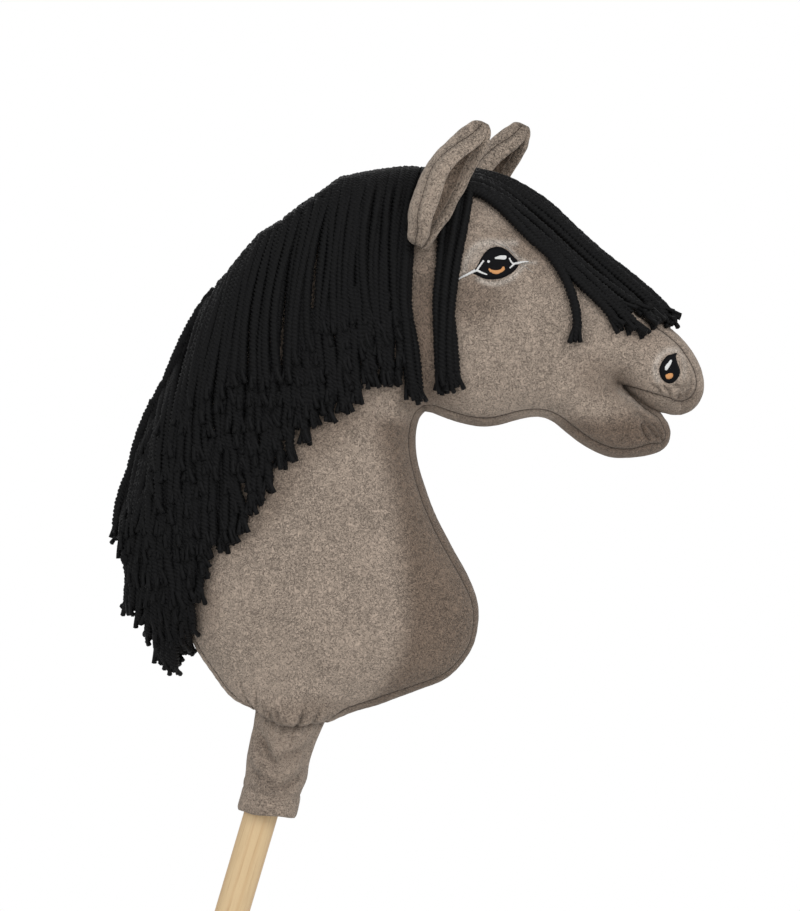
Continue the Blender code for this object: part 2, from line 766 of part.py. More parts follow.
def make_filling():
    """The stuffing: neck, head, muzzle and chin, with the pocket's bore through the neck."""
    whole = closed_form("filling_form", -(FABRIC + FILLING_GAP), "filling")
    neck = filling_piece("neck_filling", whole, [(HEAD_CUT, True)])
    filling_piece("head_filling", whole, [(HEAD_CUT, False), (MUZZLE_CUT, True)])
    filling_piece("muzzle_filling", whole, [(MUZZLE_CUT, False)], kept=-1)
    filling_piece("chin_filling", whole, [(MUZZLE_CUT, False)], kept=0)
    bpy.data.objects.remove(whole, do_unlink=True)
    shell = STICK_DIAMETER / 2 + POCKET_PLAY + POCKET_WALL + SEAT_GAP
    top = STICK_LENGTH + SEAT_GAP + POCKET_WALL + SEAT_GAP
    foot = NECK_BASE - BORE_RUN_OUT
    bore = turned("pocket_bore", [(0, top), (shell, top), (shell, foot), (0, foot)], "filling",
                  leaning)
    cut_with(neck, as_cutter(bore))


# Ears

def ear_surface(side, lift, inset):
    """Rows of points over an ear folded to a U: from its base to its tip, and from edge to edge."""
    tilt, shift = (FAR_EAR_FORWARD, FAR_EAR_SHIFT) if side > 0 else (0.0, 0.0)
    up = Vector((EAR_LEAN + tilt, side * EAR_SPLAY, 1.0)).normalized()
    turn = math.radians(EAR_TURN)
    forward = Vector((1.0, 0.0, 0.0))
    forward = (forward - up * forward.dot(up)).normalized()
    outwards = forward.cross(up) * -side
    open_way = (forward * math.cos(turn) + outwards * math.sin(turn)).normalized()
    across = up.cross(open_way).normalized()
    root = Vector((EAR_ROOT[0] + shift, side * EAR_ROOT[1], EAR_ROOT[2]))
    points = []
    for i in range(EAR_ROWS + 1):
        t = (inset + (EAR_LENGTH - 2 * inset) * i / EAR_ROWS) / EAR_LENGTH
        along = EAR_CUT + (1 - EAR_CUT) * t
        leaf = (1 - abs(2 * along - EAR_BELLY) ** EAR_SHOULDER) ** EAR_POINT
        half = max(EAR_HALF * leaf - inset, EAR_TIP_HALF)
        radius = EAR_FOLD_RADIUS * (EAR_TIP_FOLD + (1 - EAR_TIP_FOLD) * half / EAR_HALF)
        rim = half / radius
        row = []
        for j in range(EAR_COLUMNS + 1):
            angle = (2 * j / EAR_COLUMNS - 1) * rim
            depth = radius * (math.cos(rim) - math.cos(angle)) + lift * math.cos(angle)
            wide = (radius - lift) * math.sin(angle)
            row.append(root + up * (EAR_LENGTH * t) + across * wide + open_way * depth)
        points.append(row)
    return points


def make_ear(side, name, envelope):
    for part, low, high, inset, slot in (("shell", -EAR_THICKNESS, 0.0, 0.0, "ear_plush"),
                                         ("lining", SEAT_GAP, SEAT_GAP + EAR_LINING, EAR_RIM,
                                          "plush_shaded")):
        inner = ear_surface(side, low, inset)
        outer = ear_surface(side, high, inset)
        columns = len(inner[0])
        faces = []
        for i in range(len(inner) - 1):
            for j in range(columns - 1):
                a = i * columns + j
                faces.append([a, a + 1, a + columns + 1, a + columns])
        flat = [np.array([tuple(p) for row in rows for p in row]) for rows in (inner, outer)]
        made = sheet_solid(f"{name}_ear_{part}", flat[0], flat[1], faces, slot)
        cut_with(made, envelope)


# Stitched eyes and nostrils

def make_embroidery(side, name, envelope):
    """Satin-stitched areas: the dark ones sit on the plush, the coloured ones on the dark."""
    ground = SEAT_GAP + STITCHING
    for part, shape, slot, low in (("eye", EYE, "thread_black", 0.0),
                                   ("iris", IRIS, "thread_orange", ground + SEAT_GAP),
                                   ("eye_glint", GLINT, "thread_white", ground + SEAT_GAP),
                                   ("nostril", NOSTRIL, "thread_black", 0.0),
                                   ("nostril_spot", NOSTRIL_SPOT, "thread_orange",
                                    ground + SEAT_GAP)):
        high = ground if low == 0.0 else low + STITCHING
        outline = smooth_curve(shape, STITCH_OUTLINE_STEP, closed=True)
        made = patch(f"{name}_{part}", outline, STITCH_GRID, slot,
                     lambda p, lift=low: half_width(p, lift),
                     lambda p, lift=high: half_width(p, lift), side)
        if low == 0.0:
            cut_with(made, envelope)


# Mane, forelock and tape

def make_tape():
    """The woven tape along the crest that the yarn is sewn to."""
    crest = resampled(smooth_curve(BACK, CURVE_STEP), OUTLINE_STEP)[TAPE_START:]
    widths = [TAPE_HALF * (2 * k / ACROSS - 1) for k in range(ACROSS + 1)]
    rows = []
    for i, point in enumerate(crest):
        tangent = crest[min(i + 1, len(crest) - 1)] - crest[max(i - 1, 0)]
        inward = np.array([tangent[1], -tangent[0]]) / np.linalg.norm(tangent)
        for y in widths:
            sample = {"at": point, "inward": inward}
            depth = depth_for(sample, abs(y)) if y else 0.0
            x, z = point + inward * depth
            rows.append((x, y, z))
    points = np.array(rows)
    normals = outward(points[:, [0, 2]], points[:, 1])
    columns = len(widths)
    faces = []
    for i in range(len(crest) - 1):
        for j in range(ACROSS):
            a = i * columns + j
            faces.append([a, a + 1, a + columns + 1, a + columns])
    sheet_solid("crest_tape", points + normals * SEAT_GAP,
                points + normals * (SEAT_GAP + TAPE_THICKNESS), faces, "tape")


def middle_plane(points):
    """The near and far halves of the mane stop just short of each other."""
    return np.full(len(points), SEAM_GAP)


def mane_face(points):
    distance = np.clip(edge_distance(points, MANE_OUTLINE), 0, None)
    pile = MANE_PILE * (1 - np.exp(-distance / MANE_EDGE_ROUNDING))
    return half_width(points, 0.0, MANE_OUTLINE) + pile


def edge_height(chain, x):
    chain = sorted(chain)
    return np.interp(x, [p[0] for p in chain], [p[1] for p in chain])


def make_mane(envelope):
    """Hanging locks of yarn side by side, on each side of the neck."""
    first, last = MANE_TIPS[0][0] + MANE_END_INSET, MANE_TIPS[-1][0]
    edges = np.linspace(first, last, MANE_LOCKS + 1)
    for side, name in ((-1, "near"), (1, "far")):
        for i in range(MANE_LOCKS):
            left, right = edges[i] + LOCK_GAP / 2, edges[i + 1] - LOCK_GAP / 2
            xs = np.linspace(left, right, LOCK_POINTS)
            top = [(x, edge_height(MANE_EDGE + MANE_TIPS[:1], x) - MANE_TOP_INSET) for x in xs]
            low = [(x, edge_height(MANE_TIPS, x)) for x in xs]
            outline = top + low[::-1]
            outline = resampled(np.array(outline + outline[:1]), PANEL_STEP)[:-1]
            lock = patch(f"mane_{name}_{i + 1}", outline, PANEL_STEP, "yarn", middle_plane, mane_face,
                         side)
            cut_with(lock, envelope)


def make_side_locks(envelope):
    """The locks beside each ear, whose backs are cut to the cheek."""
    for side, name in ((-1, "near"), (1, "far")):
        for part, shape in SIDE_LOCKS.items():
            outline = resampled(np.array(shape + shape[:1], float), SIDE_LOCK_STEP)[:-1]
            lock = patch(f"{part}_lock_{name}", outline, PANEL_STEP, "yarn",
                         lambda p: half_width(p) - SIDE_LOCK_SINK,
                         lambda p: half_width(p, SIDE_LOCK_PILE), side)
            cut_with(lock, envelope)


def make_forelock():
    """Strands that lie forward from the poll over the forehead."""
    face = smooth_curve([FORELOCK_ROOT] + FACE[:FACE_UNDER_FORELOCK], CURVE_STEP)
    face = resampled(face, FORELOCK_STEP)
    for number, (y, start, length) in enumerate(FORELOCK, 1):
        first = round(start / FORELOCK_STEP)
        last = min(len(face) - 1, first + round(length / FORELOCK_STEP))
        path = []
        for i in range(first, last + 1):
            tangent = face[min(i + 1, len(face) - 1)] - face[max(i - 1, 0)]
            inward = np.array([tangent[1], -tangent[0]]) / np.linalg.norm(tangent)
            depth = depth_for({"at": face[i], "inward": inward}, abs(y))
            flat = face[i] + inward * depth
            normal = outward(flat[None], np.array([y]))[0]
            path.append(np.array([flat[0], y, flat[1]]) + normal * (FORELOCK_RADIUS + SEAT_GAP))
        curve = bpy.data.curves.new(f"forelock_{number}", "CURVE")
        curve.dimensions = "3D"
        curve.bevel_depth = (FORELOCK_RADIUS - SEAT_GAP) * MM
        curve.bevel_resolution = STRAND_ROUNDING
        curve.use_fill_caps = True
        spline = curve.splines.new("POLY")
        spline.points.add(len(path) - 1)
        for spot, point in zip(spline.points, path):
            spot.co = (*(point * MM), 1.0)
        add_object(f"forelock_{number}", curve, "yarn")


make_stick()
make_pocket()
make_cuff()
sew_panels()
make_filling()
skin_envelope = as_cutter(closed_form("skin_envelope", SEAT_GAP, "plush"))
tape_top = SEAT_GAP + TAPE_THICKNESS
tape_envelope = as_cutter(closed_form("tape_envelope", tape_top + SEAT_GAP + TAPE_CLEARANCE, "plush"))
for ear_side, ear_name in ((-1, "near"), (1, "far")):
    make_ear(ear_side, ear_name, skin_envelope)
    make_embroidery(ear_side, ear_name, skin_envelope)
make_tape()
make_mane(tape_envelope)
make_side_locks(skin_envelope)
make_forelock()
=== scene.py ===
"""Hobby horse: a stuffed plush horse head with a yarn mane on a round wooden stick, and its looks.

Side-view shapes are in millimetres from the point where the stick's axis enters the neck, with X
towards the nose and Z up, as in the part's source. Pieces are made in metres where the part is.
"""

import math
import random

import bmesh
import bpy
import numpy as np
from mathutils import Matrix, Vector, noise
from mathutils.geometry import delaunay_2d_cdt
from mathutils.kdtree import KDTree


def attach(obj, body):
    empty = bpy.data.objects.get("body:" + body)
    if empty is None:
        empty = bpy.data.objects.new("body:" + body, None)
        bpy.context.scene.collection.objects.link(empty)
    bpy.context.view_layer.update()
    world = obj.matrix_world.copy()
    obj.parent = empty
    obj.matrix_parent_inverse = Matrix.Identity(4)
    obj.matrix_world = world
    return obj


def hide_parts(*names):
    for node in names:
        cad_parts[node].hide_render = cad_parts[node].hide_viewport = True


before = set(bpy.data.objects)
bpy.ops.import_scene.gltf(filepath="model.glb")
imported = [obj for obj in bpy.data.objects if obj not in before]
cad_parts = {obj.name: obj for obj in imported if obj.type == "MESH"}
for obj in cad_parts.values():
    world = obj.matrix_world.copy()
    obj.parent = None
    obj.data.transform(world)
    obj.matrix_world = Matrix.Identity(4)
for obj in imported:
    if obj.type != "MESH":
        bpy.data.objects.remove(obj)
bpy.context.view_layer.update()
MM = 0.001
CHUNK = 3000
SIDES = ((-1, "near"), (1, "far"))

# Camera, light and floor
VIEW_AT = Vector((0.2160, 0.0, 0.6475))
VIEW_DISTANCE = 3.2
VIEW_HEIGHT = 0.6719
SENSOR = 36.0
FLOOR_RADIUS = 1.4
FLOOR_HEIGHT = -0.0034
SKY_FILL = 0.54
# Each lamp's place, size and power
LAMPS = [("key_lamp", (1.7, -2.1, 2.1), 1.5, 22.0), ("fill_lamp", (-1.5, -2.3, 1.5), 1.8, 13.0),
         ("back_lamp", (0.2, 2.3, 1.9), 1.6, 9.0)]

# A pixel of the photograph, and the pixel where the stick's axis enters the neck
PIXEL = 0.7375
BASE_PIXEL = (287.3, 725.0)

# The stick and the cuff
STICK_LEAN = math.radians(16.5)
STICK_BELOW_CUFF = 400.0
CUFF_DROP = 68.0
CUFF_TOP_HEIGHT = 4.0
CUFF_TOP_RADIUS = 28.0
CUFF_TOP = 26.0
CUFF_RADIUS = 22.5
CUFF_WALL = 2.5
CUFF_HEM = 18.0
POCKET_RADIUS = 16.0

# How the stuffed form swells, as in the part's source
ROOT_DEPTH = 70.0
ROOT_SHOULDER = 25.0
ROOT_SHOULDER_EASE = 2.0
FULL_HALF_WIDTH = 58.0
SWELL_LENGTH = 60.0
ROOF_LIP_ROUNDING = 18.0
FLOOR_LIP_ROUNDING = 8.0
GATHER_HEIGHT = 70.0
GATHER_SHARE = 0.62
GUSSET_HALF = 22.0
DEEPEST_SEAM = 26.0
SLOPE_STEP = 0.2
LIFT_PASSES = 12
DEPTH_PASSES = 24
CURVE_STEP = 3.0

# The sewn plush: its mesh, its seams and its softness
CLOTH = 1.6
STATION_STEP = 2.6
LIP_STEP = 1.6
PANEL_STEP = 2.8
SEAM_RINGS = (0.5, 1.1, 1.8, 2.7, 3.9, 5.4)
ACROSS = (0.0, 0.2, 0.4, 0.57, 0.71, 0.82, 0.9, 0.96, 1.0)
SEAM_VALLEY = 1.5
SEAM_WIDTH = 3.2
PUCKER = 0.34
PUCKER_LENGTH = 7.5
LUMP = 0.9
LUMP_LENGTH = 58.0
PLEATS = 24
PLEAT = 3.6
PLEAT_REACH = 28.0
BASE_FRONT_LIFT = 6.5
BASE_SAG = 4.5
BASE_REACH = 34.0
BASE_BULGE = 4.2
BASE_BULGE_REACH = 18.0
LIP_PUSH = 1.5
LIP_PUSH_REACH = 2.6
FINE_STEP = 1.4
CREASE = 2.2
CREASE_WIDTH = 1.25
CORNER_FILL = 2.8
CORNER_REACH = 4.5
CUFF_FOLD = 4.0
CUFF_FOLD_WIDTH = 3.2
CUFF_CRUMPLE = 4.0
CUFF_PLEAT = 0.8
CUFF_ASIDE = 4.2
CUFF_TILT = 0.16
CUFF_STEPS = 110
JOIN_INSET = 2.0
JOIN_LIFT = 1.5
STUFFING_DEPTH = 4.5
STUFFING_POINTS = 4000
BASE_COLUMNS = 120
BASE_RINGS = (0.0, 0.1, 0.25, 0.5, 0.75, 1.0)
GRID_CLEARANCE = 0.62
FINE_ROW = 0.87
BASE_SPAN = 50.0
SEAM_SAMPLE = 0.7
PUCKER_SWAY = 1.7
PUCKER_SWAY_LENGTH = 23.0
PUCKER_REACH = 9.0
PUCKER_START = 2.0
SMALL_LUMP = 0.35
SMALL_LUMP_LENGTH = 21.0
BULGE_SHAPE = 0.6
LIP_PUSH_FADE = 8.0
FRONT_LIFT_FROM = 6.0
FRONT_LIFT_OVER = 32.0
BAND_SOFTNESS = 24.0
BAND_TOP = 233.0
BAND_TOP_SOFTNESS = 16.0
BAND_DARKNESS = 0.86
SPOT_EDGE = 1.25
STITCH = 3.2
THREAD_RADIUS = 0.42
THREAD_RING = [THREAD_RADIUS] * 5
THREAD_LIFT = 0.05
LINE_RING = [1.0] * 7

# Ears: leaves folded to a U, as in the part's source, padded and with a turned seam
EAR_THICKNESS = 6.4
EAR_LENGTH = 101.7
# Share of the length, half the leaf's width, how far it folds round, and how far forward it bends
EAR_LEAF = [(0.0, 3.0, 2.95, -1.5), (0.04, 9.0, 2.92, -0.6), (0.107, 14.6, 2.86, 0.0),
            (0.2, 20.0, 2.46, 0.3), (0.356, 25.0, 2.26, 1.2), (0.512, 26.0, 2.03, 0.6),
            (0.64, 23.6, 2.16, 0.8), (0.762, 21.3, 2.46, 3.0), (0.868, 17.5, 2.95, 3.8),
            (0.968, 6.0, 3.1, 2.4), (1.0, 1.2, 3.1, 1.5)]
EAR_ROOT = (97.9, 60.0, 349.4)
EAR_LEAN = 0.5
EAR_SPLAY = -0.03
EAR_TURN = 30.0
FAR_EAR_SHIFT = (32.0, 7.3)
EAR_TIP_FLATNESS = 0.42
EAR_SEAM_SHARE = 0.62
EAR_TIP_FROM = 0.55
EAR_TIP_OVER = 0.4
EAR_ROUNDING = 0.62
LINING_FROM = 0.05
LINING_SPAN = 0.82
LINING_INSET = 4.2
LINING_WALL = 1.2
LINING_ROWS = 30
LINING_COLUMNS = 20
EAR_ROWS = 60
EAR_COLUMNS = 36

# Yarn
STRAND_RADIUS = 3.75
PLY_VALLEY = 0.72
PLY_TURN = 9.0
RING_STEP = 1.25
STRAND_PITCH = 7.1
PLY_RADIUS = 1.75
SHALLOWEST_GROOVE = 0.01
SPLAY = 4.6
FRAY = 12.0
MANE_LOCKS = 7
MANE_FIRST, MANE_LAST = -127.5, 86.0
ROW_STEP = 17.0
MANE_PILE = 6.0
WHOLE_STRANDS_BEHIND = -30.0
BEHIND_EAR = 66.0
AT_PARTING = 8.0
OVER_PARTING = 1.5
LAID_LIFT = 0.5
LAID_STEP = 7.0
EDGE_SAMPLES = 600
MOST_ROWS = 10
STRAND_JITTER = 0.13
LEAVING_TURN = 0.20
ARRIVING_TURN = 0.16
STRAND_BEND = 0.09
CURVE_HANDLE = 0.38
HIDDEN_LENGTH = 36.0
WHOLE_POINTS = 26
PART_POINTS = 12
ROOT_BUNCHING = 1.7
PILE_FALL = 1.15
PILE_JITTER = 0.9
EAR_GIVE = 3.5
EAR_GIVE_OVER = 14.0
SHOULDER_DEPTH = 6.0

BACK = [(-26, 10), (-42, 21), (-58.5, 42.8), (-70, 62), (-77, 84), (-78.5, 108), (-75.5, 151),
        (-69, 186), (-60, 221), (-48.5, 258), (-34, 293), (-13.5, 328), (12, 358), (42, 380),
        (74, 394), (107, 401)]
FACE = [(134.7, 400), (157, 390), (179, 373.9), (198.9, 356.2), (218.1, 339.2), (235.8, 324.5),
        (255.7, 309.8), (270, 300.5), (283, 292), (293, 283), (301, 272), (306, 261), (307.5, 249),
        (304.5, 238.5), (298, 231.5), (290.4, 228.6)]
ROOF = [(282.5, 229), (275.6, 231.6), (265.4, 236.2), (255, 244), (245.4, 251.8)]
MOUTH_CORNER = (243.2, 252.4)
FLOOR = [(244.3, 251.0), (254.0, 242.8), (264.3, 234.7), (274.6, 229.1)]
LIP = [(279.8, 224.2), (282.6, 217.5), (281.5, 208.5), (275, 201.5), (264, 198)]
JAW = [(252, 196.6), (240, 197), (228, 201), (216, 207.5), (205, 216), (196, 223.3), (187, 226.8),
       (178, 226.6), (168, 224.5), (154.6, 220.6), (142, 219.7), (128, 222.4), (116, 226.8),
       (107, 230.5)]
THROAT = [(101.5, 231.5), (97, 226.5)]
FRONT = [(94.5, 214), (96, 197), (101.5, 176), (110, 153), (121, 132), (133, 111), (140.5, 92),
         (141, 74), (135, 54), (118, 35.5), (95, 25), (68, 14.5), (48, 6.5), (30, 1)]
MUZZLE_POINTS = 5
MANE_EDGE = [(107, 412), (72, 411), (39, 406), (10.5, 390), (-21.6, 366), (-46, 336), (-68.7, 300),
             (-82, 268), (-96, 240), (-110, 207), (-119, 172), (-128, 142)]
MANE_TIPS = [(-130.5, 133), (-126, 110), (-122, 88), (-108, 66), (-96, 50), (-84, 40), (-72, 50)]
BACK_BELOW_MANE = 4

rng = random.Random(7)
LEAN_AXIS = np.array([math.sin(STICK_LEAN), math.cos(STICK_LEAN)])
LEAN_ACROSS = np.array([math.cos(STICK_LEAN), -math.sin(STICK_LEAN)])
BASE_POINT = LEAN_AXIS * (STICK_BELOW_CUFF + CUFF_DROP)


# Side-view curves and the swelling of the stuffed form

def from_photo(pixels):
    """Side-view millimetres of pixels in the photograph."""
    flat = np.array(pixels, float)
    return np.column_stack([(flat[:, 0] - BASE_PIXEL[0]) * PIXEL,
                            (BASE_PIXEL[1] - flat[:, 1]) * PIXEL])


def smooth_curve(points, step, closed=False):
    """A Catmull-Rom curve through the points, sampled about every step."""
    pts = np.array(points, float)
    count = len(pts)
    spans = count if closed else count - 1
    out = []
    for i in range(spans):
        if closed:
            a, b, c, d = (pts[(i + k) % count] for k in (-1, 0, 1, 2))
        else:
            b, c = pts[i], pts[i + 1]
            a = pts[i - 1] if i else 2 * b - c
            d = pts[i + 2] if i + 2 < count else 2 * c - b
        pieces = max(1, round(float(np.linalg.norm(c - b)) / step))
        for k in range(pieces):
            t = k / pieces
            out.append(0.5 * (2 * b + (c - a) * t + (2 * a - 5 * b + 4 * c - d) * t ** 2
                              + (3 * b - a - 3 * c + d) * t ** 3))
    if not closed:
        out.append(pts[-1])
    return np.array(out)


def resampled(chain, step):
    """The chain cut into equal lengths of about the step."""
    chain = np.array(chain, float)
    lengths = np.r_[0.0, np.cumsum(np.linalg.norm(np.diff(chain, axis=0), axis=1))]
    count = max(2, round(lengths[-1] / step) + 1)
    at = np.linspace(0, lengths[-1], count)
    return np.column_stack([np.interp(at, lengths, chain[:, k]) for k in range(chain.shape[1])])


def eased(share):
    share = np.clip(share, 0, 1)
    return share * share * (3 - 2 * share)


def in_chunks(measure):
    """Lets a measure of many points run over a few thousand at a time."""
    def measured(points, *rest):
        parts = [measure(points[i:i + CHUNK], *rest) for i in range(0, len(points), CHUNK)]
        return np.concatenate(parts) if parts else np.zeros(0)
    return measured


@in_chunks
def edge_distance(points, outline):
    """Distance to the outline, true close to it and free of creases inside; negative outside."""
    to_here = outline[None] - points[:, None]
    reach = np.linalg.norm(to_here, axis=2) + 1e-9
    to_next = np.roll(to_here, -1, axis=1)
    next_reach = np.roll(reach, -1, axis=1)
    cross = to_here[..., 0] * to_next[..., 1] - to_here[..., 1] * to_next[..., 0]
    dot = (to_here * to_next).sum(axis=2)
    half_angle = cross / (reach * next_reach + dot + 1e-9)
    total = ((1 / reach + 1 / next_reach) * half_angle).sum(axis=1)
    return 2.0 / np.where(np.abs(total) < 1e-12, 1e-12, total)


@in_chunks
def line_distance(points, chain):
    """True distance to an open chain."""
    start, run = chain[:-1], np.diff(chain, axis=0)
    offset = points[:, None] - start[None]
    share = np.clip((offset * run).sum(axis=2) / (run * run).sum(axis=1), 0, 1)
    return np.linalg.norm(offset - share[..., None] * run, axis=2).min(axis=1)


ROOT_SIDE = [(CUFF_TOP_HEIGHT, CUFF_TOP_RADIUS), (-ROOT_SHOULDER, CUFF_RADIUS + ROOT_SHOULDER_EASE),
             (-ROOT_DEPTH, CUFF_RADIUS)]
CUFF_ROOT = [tuple(LEAN_AXIS * up + LEAN_ACROSS * out) for up, out in
             ROOT_SIDE + [(up, -out) for up, out in ROOT_SIDE[::-1]]]
BACK[0] = CUFF_ROOT[-1]
FRONT[-1] = CUFF_ROOT[0]


def body_outline(back):
    """The closed outline, anticlockwise, with its lips shut and with the root of the cuff."""
    top = smooth_curve(list(back) + FACE, CURVE_STEP)
    under = smooth_curve(LIP + JAW + THROAT + FRONT, CURVE_STEP)
    root = np.array(CUFF_ROOT[1:-1])
    return np.vstack([top, under, root])[::-1]


OUTLINE = body_outline(BACK)
UPPER_LIP_EDGE = smooth_curve(FACE[-1:] + ROOF + [MOUTH_CORNER], CURVE_STEP)
LOWER_LIP_EDGE = smooth_curve([MOUTH_CORNER] + FLOOR + LIP[:1], CURVE_STEP)
MOUTH_SLIT = np.vstack([UPPER_LIP_EDGE, LOWER_LIP_EDGE[1:]])
MANE_OUTLINE = body_outline(BACK[:BACK_BELOW_MANE] + MANE_TIPS[::-1] + MANE_EDGE[::-1])


def gather(points):
    """The neck is gathered in towards the cuff: 1 up in the neck, less close to the base."""
    height = np.clip((points @ LEAN_AXIS - CUFF_TOP_HEIGHT) / GATHER_HEIGHT, 0, 1)
    return GATHER_SHARE + (1 - GATHER_SHARE) * eased(height)


@in_chunks
def in_mouth(points):
    """Whether points lie in the slit between the lips."""
    to_here = MOUTH_SLIT[None] - points[:, None]
    to_next = np.roll(to_here, -1, axis=1)
    cross = to_here[..., 0] * to_next[..., 1] - to_here[..., 1] * to_next[..., 0]
    return np.abs(np.arctan2(cross, (to_here * to_next).sum(axis=2)).sum(axis=1)) > math.pi


def swell(points, outline=OUTLINE):
    """The square of the stuffed form's half width over the side view; negative outside it."""
    depth = np.clip(edge_distance(points, outline), -SWELL_LENGTH, None)
    share = 1 - np.exp(-2 * depth / SWELL_LENGTH)
    for chain, rounding in ((UPPER_LIP_EDGE, ROOF_LIP_ROUNDING), (LOWER_LIP_EDGE, FLOOR_LIP_ROUNDING)):
        share = share * (1 - np.exp(-2 * line_distance(points, chain) / rounding))
    share = np.where(in_mouth(points), -np.abs(share), share)
    return FULL_HALF_WIDTH ** 2 * share * gather(points)


def swell_slope(points, outline=OUTLINE):
    slopes = []
    for shift in np.eye(2) * SLOPE_STEP:
        rise = swell(points + shift, outline) - swell(points - shift, outline)
        slopes.append(rise / (2 * SLOPE_STEP))
    return np.column_stack(slopes)


def half_width(points, lift=0.0, outline=OUTLINE):
    """Half width of the form, or of the surface that lies the lift outside it."""
    points = np.atleast_2d(np.array(points, float))
    square = swell(points, outline)
    width = np.sqrt(np.clip(square, 0, None))
    if np.all(lift == 0.0):
        return width
    slope = (swell_slope(points, outline) ** 2).sum(axis=1)
    for _ in range(LIFT_PASSES):
        width = np.sqrt(np.clip(square + lift * np.sqrt(slope + 4 * width ** 2), 0, None))
    return width


def outward(points, y):
    """Unit normals of the form at points of the side view with their widths."""
    slope = swell_slope(points)
    normal = np.column_stack([-slope[:, 0], 2 * y, -slope[:, 1]])
    return normal / np.linalg.norm(normal, axis=1)[:, None]


# Mesh helpers

def in_metres(points):
    """Points of the head's side-view frame, as the part has them."""
    shift = np.array([BASE_POINT[0], 0.0, BASE_POINT[1]])
    return (np.array(points, float) + shift) * MM


def linked(name, data):
    """A new object of the scene."""
    made = bpy.data.objects.new(name, data)
    bpy.context.scene.collection.objects.link(made)
    return made


def piece_from(name, form, material, marks=None, outwards=None):
    """A finished piece from a bmesh in metres, with its normals outwards and its finish."""
    bmesh.ops.recalc_face_normals(form, faces=form.faces)
    if outwards is not None:
        form.verts.index_update()
        agree = sum(face.normal.dot(Vector(outwards[face.verts[0].index])) for face in form.faces)
        if agree < 0:
            bmesh.ops.reverse_faces(form, faces=form.faces)
    mesh = bpy.data.meshes.new(name)
    form.to_mesh(mesh)
    form.free()
    mesh.shade_smooth()
    for label, values in (marks or {}).items():
        layer = mesh.attributes.new(label, "FLOAT", "POINT")
        layer.data.foreach_set("value", np.array(values, dtype=np.float32))
    mesh.materials.append(material)
    made = linked(name, mesh)
    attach(made, "head")
    return made


def cloth_wall(piece, thickness, offset=-1.0):
    """Gives a sewn panel its thickness, inwards unless an offset of 0 centres it."""
    wall = piece.modifiers.new("cloth", "SOLIDIFY")
    wall.thickness = thickness * MM
    wall.offset = offset
    wall.use_even_offset = False


def form_of(verts, faces):
    """A bmesh of points in the head's frame and faces."""
    form = bmesh.new()
    made = [form.verts.new(tuple(v)) for v in in_metres(verts)]
    form.verts.index_update()
    for face in faces:
        if len(set(face)) > 2:
            form.faces.new([made[i] for i in face])
    return form


def skinned(form, rows, closed=True):
    """Joins rows of points with faces, each row to its own start too if it is closed."""
    made = [[form.verts.new(tuple(v)) for v in in_metres([tuple(p) for p in row])] for row in rows]
    count = len(made[0])
    for low, high in zip(made, made[1:]):
        for i in range(count if closed else count - 1):
            k = (i + 1) % count
            form.faces.new((low[i], low[k], high[k], high[i]))
    return made


def filled(outline, step, extra=()):
    """Triangles that fill an outline: its points, the extra ones, then a triangular grid."""
    outline = np.array(outline, float)
    low, high = outline.min(axis=0), outline.max(axis=0)
    row_height = step * math.sqrt(3) / 2
    grid = []
    for row, z in enumerate(np.arange(low[1] + row_height / 2, high[1], row_height)):
        for x in np.arange(low[0] + (row % 2) * step / 2, high[0], step):
            grid.append((x, z))
    grid = np.array(grid) if grid else np.zeros((0, 2))
    area = np.roll(outline, -1, axis=0) - outline
    turn = (outline[:, 0] * area[:, 1] - outline[:, 1] * area[:, 0]).sum()
    loop = outline if turn > 0 else outline[::-1]
    fixed = np.vstack([outline, *[np.reshape(point, (1, 2)) for point in extra]])
    if len(grid):
        tree = KDTree(len(fixed))
        for i, point in enumerate(fixed):
            tree.insert((point[0], point[1], 0.0), i)
        tree.balance()
        near = np.array([tree.find((x, z, 0.0))[2] for x, z in grid])
        grid = grid[near > GRID_CLEARANCE * step]
        grid = grid[edge_distance(grid, loop) > 0] if len(grid) else grid
    points = np.vstack([fixed, grid])
    loop_edges = [(i, (i + 1) % len(outline)) for i in range(len(outline))]
    made = delaunay_2d_cdt([Vector(p) for p in points], loop_edges, [], 1, 1e-5)
    where = [sources[0] if sources else len(points) for sources in made[3]]
    return points, [[where[i] for i in face] for face in made[2]]


# Parts of the side panels with a finer mesh: middle and reach in pixels of the photograph
FINE_SPOTS = [((497, 262), (44, 30)), ((669, 366), (22, 26)), ((635, 410), (42, 46))]
# Creases of the muzzle, in pixels
CREASES = [[(636, 411), (642, 418), (645, 424), (651, 431), (655, 437)],
           [(646, 419), (651, 422), (656, 427), (660, 434), (662, 440)],
           [(640, 425), (642, 433), (646, 440)],
           [(684, 396), (689, 389), (690, 380)], [(677, 399), (679, 394), (684, 391)],
           [(668, 397), (667, 392), (662, 388)], [(658, 394), (655, 389), (650, 386)],
           [(673, 386), (680, 388), (686, 384)]]
# Folds of the gathered neck and of the cuff, in pixels
BASE_CREASES = [[(254, 704), (262, 715), (276, 722)], [(273, 706), (275, 715), (281, 722)],
                [(280, 705), (285, 717), (294, 723)], [(304, 711), (301, 719), (295, 724)]]
CUFF_FOLDS = [[(311, 750), (303, 768), (292, 781), (280, 787), (264, 786)],
              [(248, 760), (255, 772), (266, 780)], [(322, 734), (309, 748), (296, 754), (284, 755)],
              [(262, 738), (266, 750), (275, 760)]]


